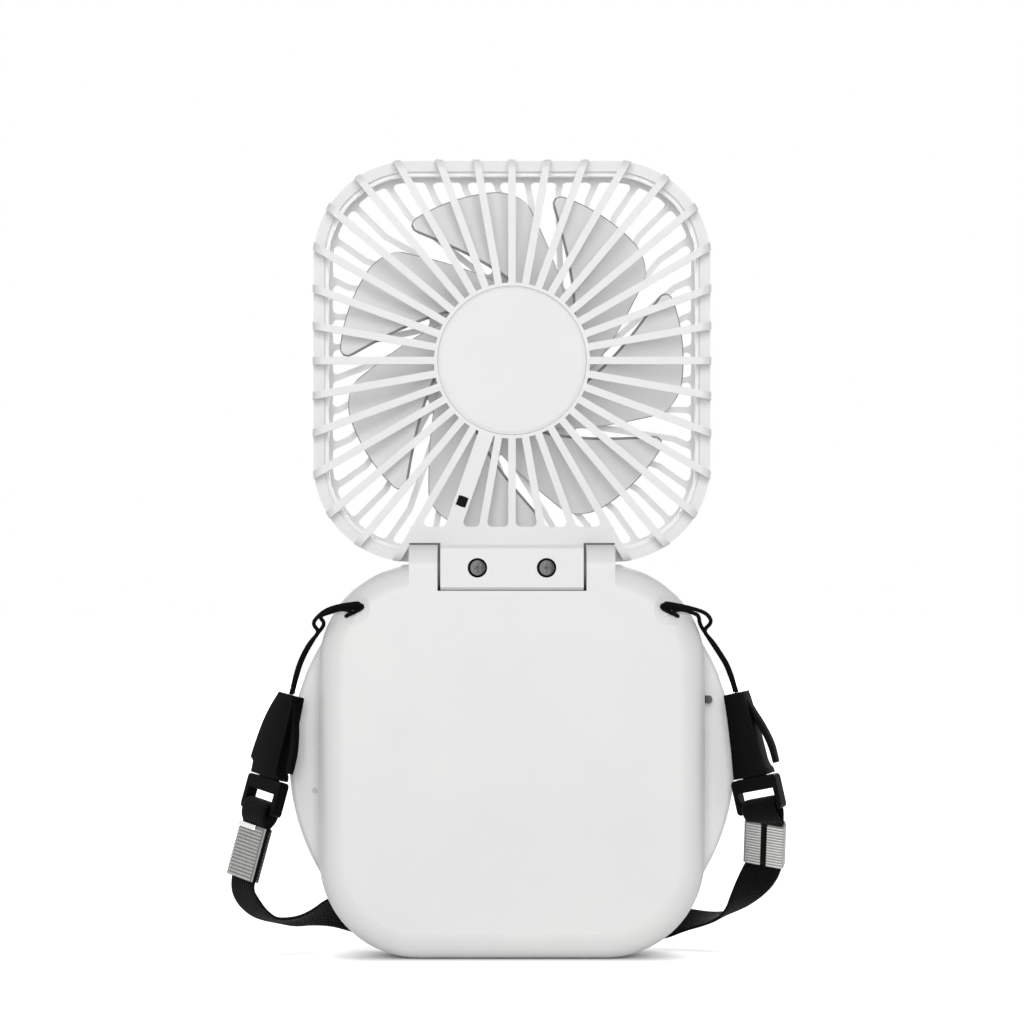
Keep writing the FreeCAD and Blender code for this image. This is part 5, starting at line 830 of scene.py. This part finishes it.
def slabPiece(name, slabs, place, material):
    shape = bmesh.new()
    for outline, low, high, roundMm in slabs:
        slab(shape, outline, low, high, roundMm)
    mesh = bpy.data.meshes.new(name)
    shape.to_mesh(mesh)
    shape.free()
    mesh.transform(inMetres(place))
    mesh.materials.append(material)
    shadeSmooth(mesh, slabLook["sharpDegrees"])
    return addPiece(name, mesh)


for side, buckle in buckles.items():
    body = smoothed(sleeve["backFlank"][side]) + smoothed(sleeve["armFlank"])
    arm = smoothed(sleeve["armOuter"]) + smoothed(sleeve["armInner"])
    piece = slabPiece(side + "BuckleSleeve", [
        (body, -sleeve["halfDepthMm"], sleeve["halfDepthMm"], sleeve["roundMm"]),
        (arm, -sleeve["armHalfDepthMm"], sleeve["armHalfDepthMm"], sleeve["armRoundMm"])],
        buckle["place"], blackPlastic)
    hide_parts(side + "_buckle_socket")
    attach(piece, "base")

# Rolled lip at the top of the left ferrule, painted near white as a highlight
lip = {"fromMm": -4.6, "toMm": 1.4, "highMm": 1.3, "standMm": 0.1, "frontMm": -1.72, "backMm": -1.3,
       "roundMm": 0.14}
lipTop = ferruleTop + lip["standMm"]
lipOutline = [(lip["fromMm"], lipTop), (lip["fromMm"], lipTop - lip["highMm"]),
              (lip["toMm"], lipTop - lip["highMm"]), (lip["toMm"], lipTop)]
lipPiece = slabPiece("leftFerruleLip", [(lipOutline, lip["frontMm"], lip["backMm"], lip["roundMm"])],
                     buckles["left"]["hang"], lipHighlightSteel)
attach(lipPiece, "left_plug")
print("buckle sleeves made")

# Weld bead between the two guards, a rounded square just inside the rim, in the lighter painted-light white
rim = {"halfWidthMm": 45.82, "halfHeightMm": 46.32, "cornerMm": 21.32, "depthMm": 9.95, "centreMm": 144.3,
       "ribMm": 0.17, "pitchMm": 1.0, "cornerSteps": 24}
rimOutline = []
for signX, signZ, start in ((1, 1, 0), (-1, 1, 90), (-1, -1, 180), (1, -1, 270)):
    cornerX = signX * (rim["halfWidthMm"] - rim["cornerMm"])
    cornerZ = signZ * (rim["halfHeightMm"] - rim["cornerMm"])
    corner = arcPoints(cornerX, cornerZ, rim["cornerMm"], start, 90, rim["cornerSteps"])
    rimOutline += [(x, rim["depthMm"], rim["centreMm"] + z) for x, z in corner]
rimCurve = outlineCurve("rimOutline", [rimOutline], True)
beads("rimWeldBead", rimCurve, rim, 1, lightenedWhitePlastic, "head")

# Screws with a cross slot, and a dark ring of painted shadow round each of the two that clamp the hinge
screwSizes = {"headMm": 1.8, "headHeightMm": 1.3, "slotMm": 2.3, "slotWidthMm": 0.55, "slotDepthMm": 0.6,
              "shankMm": 1.0, "headSides": 32, "shankSides": 20, "sharpDegrees": 30}
screwSets = {
    "hinge_screws": {"seats": [(-8.3, -12.9, 94.1), (8.3, -12.9, 94.1)], "shankLengthMm": 5.5, "tilt": 90.0,
                     "turn": 20.0, "body": "head"},
    "housing_screws": {"seats": [(x * side, 12.9, z) for x, z in ((33.0, 16.0), (38.5, 62.0))
                                 for side in (-1, 1)],
                       "shankLengthMm": 15.0, "tilt": -90.0, "turn": 35.0, "body": "base"}}
screwTree, screwIn, screwOut = geometryTree("crossSlotScrews", {
    "Seats": "Object", "Head Radius": "Float", "Head Height": "Float", "Slot Length": "Float",
    "Slot Width": "Float", "Slot Depth": "Float", "Shank Radius": "Float", "Shank Length": "Float",
    "Tilt": "Float", "Turn": "Float", "Material": "Material"})
screwHead = cylinderNode(screwTree, screwSizes["headSides"], screwIn["Head Radius"], screwIn["Head Height"])
headLift = mathNode(screwTree, "MULTIPLY", screwIn["Head Height"], -0.5)
headDown = shiftedNode(screwTree, screwHead, Z=headLift)
slotHeight = mathNode(screwTree, "MULTIPLY", screwIn["Slot Depth"], 2.0)
slotCubes = []
for first, second in (("Slot Length", "Slot Width"), ("Slot Width", "Slot Length")):
    slotSize = axisNode(screwTree, X=screwIn[first], Y=screwIn[second], Z=slotHeight)
    slotCubes.append(addNode(screwTree, "GeometryNodeMeshCube", links={"Size": slotSize}).outputs["Mesh"])
slotted = cutNode(screwTree, headDown, slotCubes)
shank = cylinderNode(screwTree, screwSizes["shankSides"], screwIn["Shank Radius"], screwIn["Shank Length"])
shankHalf = mathNode(screwTree, "MULTIPLY", screwIn["Shank Length"], -0.5)
shankLift = mathNode(screwTree, "SUBTRACT", shankHalf, screwIn["Head Height"])
screwBody = joinNode(screwTree, (slotted, shiftedNode(screwTree, shank, Z=shankLift)))
# Known fault: the turn comes after the tilt and leans the screws; on Y it would turn each on its own axis
screwRotation = rotationNode(screwTree, X=screwIn["Tilt"], Z=screwIn["Turn"])
screwCopies = copiesNode(screwTree, shapeOf(screwTree, screwIn["Seats"]), screwBody, Rotation=screwRotation)
screwReal = realNode(screwTree, screwCopies)
screwTree.links.new(paintNode(screwTree, screwReal, screwIn["Material"]), screwOut["Geometry"])

for node, screws in screwSets.items():
    seatMesh = bpy.data.meshes.new("screwSeats")
    seatMesh.from_pydata([Vector(seat) * mm for seat in screws["seats"]], [], [])
    seats = addPiece("screwSeats", seatMesh)
    words = node.split("_")
    piece = bakeTree(words[0] + "CrossSlotScrews", screwTree, {
        "Seats": seats, "Head Radius": screwSizes["headMm"] * mm,
        "Head Height": screwSizes["headHeightMm"] * mm, "Slot Length": screwSizes["slotMm"] * mm,
        "Slot Width": screwSizes["slotWidthMm"] * mm, "Slot Depth": screwSizes["slotDepthMm"] * mm,
        "Shank Radius": screwSizes["shankMm"] * mm,
        "Shank Length": screws["shankLengthMm"] * mm, "Tilt": math.radians(screws["tilt"]),
        "Turn": math.radians(screws["turn"]), "Material": screwSteel}, screwSizes["sharpDegrees"])
    bpy.data.objects.remove(seats)
    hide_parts(node)
    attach(piece, screws["body"])
# Black bead in the recess round each hinge screw: painted shadow
ring = {"radiusMm": 2.07, "ribMm": 0.26, "pitchMm": 1.0, "sweepDegrees": 345, "steps": 23}
ringOutlines = []
for cx, seatY, cz in screwSets["hinge_screws"]["seats"]:
    circle = arcPoints(0, 0, ring["radiusMm"], 0, ring["sweepDegrees"], ring["steps"])
    ringOutlines.append([(x + cx, seatY + ring["ribMm"], z + cz) for x, z in circle])
ringCurve = outlineCurve("screwRings", ringOutlines, True)
beads("hingeScrewRings", ringCurve, ring, 1, leadSleeveAndRingShade, "head")
print("screws made")

# Painted shade in the hinge's gaps: the side washers in dark grey, a dark strip lining the notch below the
# barrel and a dark strip on each ear
hinge = {"axisMm": (-8.5, 94.1), "sideMm": (17.28, 17.82), "washerMm": (1.56, 5.42), "washerSteps": 48,
         "notchMm": (7.3, 7.76), "notchDegrees": (-132.0, 39.0), "notchSteps": 10, "earMm": (17.28, 24.75),
         "earTopMm": (5.4, 5.95), "earDegrees": (76.0, 14.0), "earSteps": 4}


def turned(name, bands, material):
    # Rings about the hinge's axis: each band has two ends in x, two radii, a start, a sweep and its steps
    points = []
    faces = []
    for low, high, inner, outer, start, sweep, steps in bands:
        first = len(points)
        for step in range(steps + 1):
            angle = math.radians(start + sweep * step / steps)
            for x, radius in ((low, inner), (high, inner), (high, outer), (low, outer)):
                points.append(Vector((x, hinge["axisMm"][0] + radius * math.cos(angle),
                                      hinge["axisMm"][1] + radius * math.sin(angle))) * mm)
        for step in range(steps):
            for corner in range(4):
                after = (corner + 1) % 4
                a = first + step * 4
                faces.append((a + corner, a + after, a + 4 + after, a + 4 + corner))
        if sweep < 360:
            faces.append(tuple(first + corner for corner in (3, 2, 1, 0)))
            faces.append(tuple(first + steps * 4 + corner for corner in range(4)))
    mesh = bpy.data.meshes.new(name)
    mesh.from_pydata(points, [], faces)
    shape = bmesh.new()
    shape.from_mesh(mesh)
    bmesh.ops.remove_doubles(shape, verts=shape.verts, dist=1e-7)
    bmesh.ops.recalc_face_normals(shape, faces=shape.faces)
    shape.to_mesh(mesh)
    shape.free()
    mesh.materials.append(material)
    return addPiece(name, mesh)


def bothSides(ends, *band):
    return [(side * ends[0], side * ends[1], *band) for side in (-1, 1)]


washerBands = bothSides(hinge["sideMm"], *hinge["washerMm"], 0, 360, hinge["washerSteps"])
washers = turned("hingeFrictionWashers", washerBands, hingeGapShade)
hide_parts("hinge_washers")
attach(washers, "base")
notchEnds = (-hinge["sideMm"][1], hinge["sideMm"][1])
notchBand = (*notchEnds, *hinge["notchMm"], *hinge["notchDegrees"], hinge["notchSteps"])
lining = turned("hingeNotchLining", [notchBand], hingeGapShade)
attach(lining, "base")
earBands = bothSides(hinge["earMm"], *hinge["earTopMm"], *hinge["earDegrees"], hinge["earSteps"])
strips = turned("hingeEarStrips", earBands, hingeGapShade)
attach(strips, "base")
print("hinge lining made")

# Impeller: hub cup and seven blades swept back along a curve, tips rounded more on the deep side
impeller = {"blades": 7, "centreMm": 144.3, "rootMm": 14.8, "tipMm": 42.1, "sweep": 1408.0,
            "middleDegrees": 38.4, "spanDegrees": 42.2, "nearMm": 6.7, "farMm": 19.2, "camberMm": 1.1,
            "thickMm": 0.7, "deepCorner": (3.9, 10.5), "nearCorner": (3.4, 5.0), "edgeMm": 0.24,
            "edgeAtMm": 32, "rows": 20, "columns": 28, "sharpDegrees": 40}
hub = {"radiusMm": 15.2, "wallMm": 1.4, "depthMm": 13.0, "startMm": 5.0, "sides": 72}


def edgedSteps(count, edge):
    # Even steps from 0 to 1 with one narrow step at each end
    return [0.0] + [edge + (1 - 2 * edge) * step / count for step in range(count + 1)] + [1.0]


def bladeSheet(sizes):
    # Middle surface of one blade: columns across the span, rows from root to tip
    points = []
    faces = []
    edgeShare = math.degrees(sizes["edgeMm"] / sizes["edgeAtMm"]) / sizes["spanDegrees"]
    across = edgedSteps(sizes["columns"], edgeShare)
    along = edgedSteps(sizes["rows"], sizes["edgeMm"] / (sizes["tipMm"] - sizes["rootMm"]))
    for share in across:
        fromDeep = share * sizes["spanDegrees"]
        fromNear = (1 - share) * sizes["spanDegrees"]
        tip = sizes["tipMm"]
        for distance, (drop, reach) in ((fromDeep, sizes["deepCorner"]), (fromNear, sizes["nearCorner"])):
            if distance < reach:
                tip -= drop * (1 - math.sqrt(1 - (1 - distance / reach) ** 2))
        depth = sizes["farMm"] + (sizes["nearMm"] - sizes["farMm"]) * share
        depth += sizes["camberMm"] * math.sin(math.pi * share)
        for out in along:
            radius = sizes["rootMm"] + (tip - sizes["rootMm"]) * out
            angle = math.radians(sizes["middleDegrees"] - sizes["sweep"] / radius
                                 + sizes["spanDegrees"] * (share - 0.5))
            points.append(Vector((radius * math.cos(angle), depth, radius * math.sin(angle))) * mm)
    line = len(along)
    edges = []
    for column in range(len(across) - 1):
        for row in range(line - 1):
            a = column * line + row
            faces.append((a, a + 1, a + line + 1, a + line))
            # The first and last column and the last row take the edge material: painted shade along the
            # blade's outline
            edges.append(int(column in (0, len(across) - 2) or row == line - 2))
    mesh = bpy.data.meshes.new("bladeSheet")
    mesh.from_pydata(points, [], faces)
    mesh.materials.append(bladePlastic)
    mesh.materials.append(bladeEdgeShade)
    mesh.polygons.foreach_set("material_index", edges)
    sheet = addPiece("bladeSheet", mesh)
    thick = sheet.modifiers.new("thickness", "SOLIDIFY")
    thick.thickness = sizes["thickMm"] * mm
    thick.offset = 0
    # The solidified rims take the painted edge shade too
    thick.material_offset_rim = 1
    return sheet


bladeTree, bladeIn, bladeOut = geometryTree("bladeRing", {
    "Blade": "Object", "Blades": "Int", "Hub Radius": "Float", "Hub Wall": "Float", "Hub Depth": "Float",
    "Hub Start": "Float", "Material": "Material", "Edge Shade Material": "Material"})
bladeShape = shapeOf(bladeTree, bladeIn["Blade"])
bladeSeats = addNode(bladeTree, "GeometryNodeMeshLine", {"Offset": (0, 0, 0)}, {"Count": bladeIn["Blades"]},
                     mode="OFFSET").outputs["Mesh"]
bladeIndex = addNode(bladeTree, "GeometryNodeInputIndex").outputs["Index"]
bladeStep = mathNode(bladeTree, "DIVIDE", 2 * math.pi, bladeIn["Blades"])
bladeRotation = rotationNode(bladeTree, Y=mathNode(bladeTree, "MULTIPLY", bladeIndex, bladeStep))
bladeCopies = copiesNode(bladeTree, bladeSeats, bladeShape, Rotation=bladeRotation)
hubOuter = cylinderNode(bladeTree, hub["sides"], bladeIn["Hub Radius"], bladeIn["Hub Depth"])
hubBoreRadius = mathNode(bladeTree, "SUBTRACT", bladeIn["Hub Radius"], bladeIn["Hub Wall"])
hubBore = cylinderNode(bladeTree, hub["sides"], hubBoreRadius, bladeIn["Hub Depth"])
hubCup = cutNode(bladeTree, hubOuter, [shiftedNode(bladeTree, hubBore, Z=bladeIn["Hub Wall"])])
hubMiddle = mathNode(bladeTree, "MULTIPLY_ADD", bladeIn["Hub Depth"], 0.5, bladeIn["Hub Start"])
hubSeated = addNode(bladeTree, "GeometryNodeTransform", {"Rotation": (math.radians(90), 0, 0)}, {
    "Geometry": hubCup, "Translation": axisNode(bladeTree, Y=hubMiddle)}).outputs["Geometry"]
bladeReal = realNode(bladeTree, joinNode(bladeTree, (hubSeated, bladeCopies)))
# The edge faces, painted shade along the blades' outline, are marked before the first paint and painted again
# after it
bladeIsEdge = addNode(bladeTree, "GeometryNodeMaterialSelection", links={
    "Material": bladeIn["Edge Shade Material"]}).outputs["Selection"]
bladeMark = addNode(bladeTree, "GeometryNodeCaptureAttribute", links={"Geometry": bladeReal}, domain="FACE")
bladeMark.capture_items.new("BOOLEAN", "Edge")
bladeTree.links.new(bladeIsEdge, bladeMark.inputs["Edge"])
bladePaint = paintNode(bladeTree, bladeMark.outputs["Geometry"], bladeIn["Material"])
bladeEdgePaint = paintNode(bladeTree, bladePaint, bladeIn["Edge Shade Material"],
                           Selection=bladeMark.outputs["Edge"])
bladeTree.links.new(bladeEdgePaint, bladeOut["Geometry"])

sheet = bladeSheet(impeller)
blades = bakeTree("sweptImpeller", bladeTree, {
    "Blade": sheet, "Blades": impeller["blades"], "Hub Radius": hub["radiusMm"] * mm,
    "Hub Wall": hub["wallMm"] * mm, "Hub Depth": hub["depthMm"] * mm, "Hub Start": hub["startMm"] * mm,
    "Material": bladePlastic, "Edge Shade Material": bladeEdgeShade}, impeller["sharpDegrees"])
bpy.data.objects.remove(sheet)
blades.data.transform(Matrix.Translation((0, 0, impeller["centreMm"] * mm)))
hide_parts("impeller")
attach(blades, "impeller")
print("impeller made, faces", len(blades.data.polygons))

# Elastic tie over the rolled strap, down inside and outside its turns
tie = {"widthMm": 5.0, "thickMm": 0.7, "insideMm": 7.4, "outsideMm": 26.0, "lowMm": 0.5, "topMm": 9.3,
       "cornerMm": 3, "flatMm": 9, "columns": 10, "ribDepth": 0.1, "selvedge": 7, "resolution": 8}
tieIn = tie["insideMm"]
tieOut = tie["outsideMm"]
tieTop = tie["topMm"]
tieLine = [(tieIn, tie["lowMm"]), (tieIn, tieTop / 2), (tieIn, tieTop), (tieIn + tie["cornerMm"], tieTop),
           (tieIn + tie["flatMm"], tieTop), (tieOut - tie["cornerMm"], tieTop), (tieOut, tieTop),
           (tieOut, tieTop / 2), (tieOut, tie["lowMm"])]
tieMiddles = [Vector((roll["centre"][0], roll["centre"][1] + reach, rise)) for reach, rise in tieLine]
tieBand = webbingBand("strapTie", tieMiddles, [Vector((1, 0, 0))] * len(tieMiddles), tie, blackWebbing)[0]
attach(tieBand, "base")
print("strap tie made")


def seenDirectly(tree):
    # 1 for what the eye sees straight, mirrored or through something, else 0
    rays = addNode(tree, "ShaderNodeLightPath").outputs
    mirrored = mathNode(tree, "MAXIMUM", rays["Is Camera Ray"], rays["Is Glossy Ray"])
    return mathNode(tree, "MAXIMUM", mirrored, rays["Is Transmission Ray"])


# Pale paper floor, lifted to white except close to what stands on it, where the lift fades with ambient
# occlusion: a painted contact shadow
stageSizes = {"floorMetres": 8.0, "floorDrop": 0.0002, "floorColour": "#F4F4F4", "floorRough": 0.9,
              "floorSpecular": 0.1, "floorLift": 0.68, "contactMm": 9.0, "worldLight": 0.33}
reach = stageSizes["floorMetres"] / 2
floorCorners = [(-reach, -reach, 0), (reach, -reach, 0), (reach, reach, 0), (-reach, reach, 0)]
floorMesh = bpy.data.meshes.new("floor")
floorMesh.from_pydata(floorCorners, [], [(0, 1, 2, 3)])
floor = addPiece("floor", floorMesh)
floor.data.transform(Matrix.Translation((0, 0, -stageSizes["floorDrop"])))
floorPaint, floorTree, floorShader = newMaterial(
    "pale_paper_floor", Roughness=stageSizes["floorRough"], Specular_IOR_Level=stageSizes["floorSpecular"])
floorShader.inputs["Base Color"].default_value = toLinear(stageSizes["floorColour"])
floorShadeOcclusion = addNode(floorTree, "ShaderNodeAmbientOcclusion", {"Distance": stageSizes["contactMm"] * mm})
floorOpen = mathNode(floorTree, "MULTIPLY", floorShadeOcclusion.outputs["AO"], stageSizes["floorLift"])
floorLift = mathNode(floorTree, "MULTIPLY", seenDirectly(floorTree), floorOpen)
floorShader.inputs["Emission Color"].default_value = (1, 1, 1, 1)
floorTree.links.new(floorLift, floorShader.inputs["Emission Strength"])
floor.data.materials.append(floorPaint)

# White background at strength 1 where it is seen, dimmer as a light
world = bpy.data.worlds.new("studio")
scene.world = world
world.use_nodes = True
worldTree = world.node_tree
worldTree.nodes.clear()
skyLevel = addNode(worldTree, "ShaderNodeMapRange", {"To Min": stageSizes["worldLight"], "To Max": 1.0},
                   {"Value": seenDirectly(worldTree)})
sky = addNode(worldTree, "ShaderNodeBackground", {"Color": (1, 1, 1, 1)},
              {"Strength": skyLevel.outputs["Result"]})
addNode(worldTree, "ShaderNodeOutputWorld", links={"Surface": sky.outputs["Background"]})

lamps = {
    "frontSoftbox": {"at": (0.0, -1.9, 0.4), "size": 0.6, "watts": 16.4},
    "topSoftbox": {"at": (0.0, 0.1, 1.4), "size": 1.2, "watts": 2.5},
    "backSoftbox": {"at": (0.0, 1.9, 0.6), "size": 1.0, "watts": 13.0}}
lampAim = Vector((0, 0, 0.1))
for name, lamp in lamps.items():
    data = bpy.data.lights.new(name, "AREA")
    data.shape = "SQUARE"
    data.size = lamp["size"]
    data.energy = lamp["watts"]
    light = addPiece(name, data)
    light.location = lamp["at"]
    light.rotation_mode = "QUATERNION"
    light.rotation_quaternion = (lampAim - light.location).to_track_quat("-Z", "Y")

# The photograph's view: level, 1.2 m in front of the face, 0.24 mm to a pixel of 1024 there
view = {"distance": 1.2, "faceY": -0.014, "height": 0.1075, "widthAtFace": 0.24576, "sensorMm": 36,
        "farthest": 50}
camera = addPiece("camera", bpy.data.cameras.new("camera"))
camera.data.sensor_width = view["sensorMm"]
camera.data.lens = view["sensorMm"] * view["distance"] / view["widthAtFace"]
camera.data.clip_end = view["farthest"]
camera.location = (0, view["faceY"] - view["distance"], view["height"])
camera.rotation_euler = (math.pi / 2, 0, 0)
scene.camera = camera
print("stage, lights and camera set")
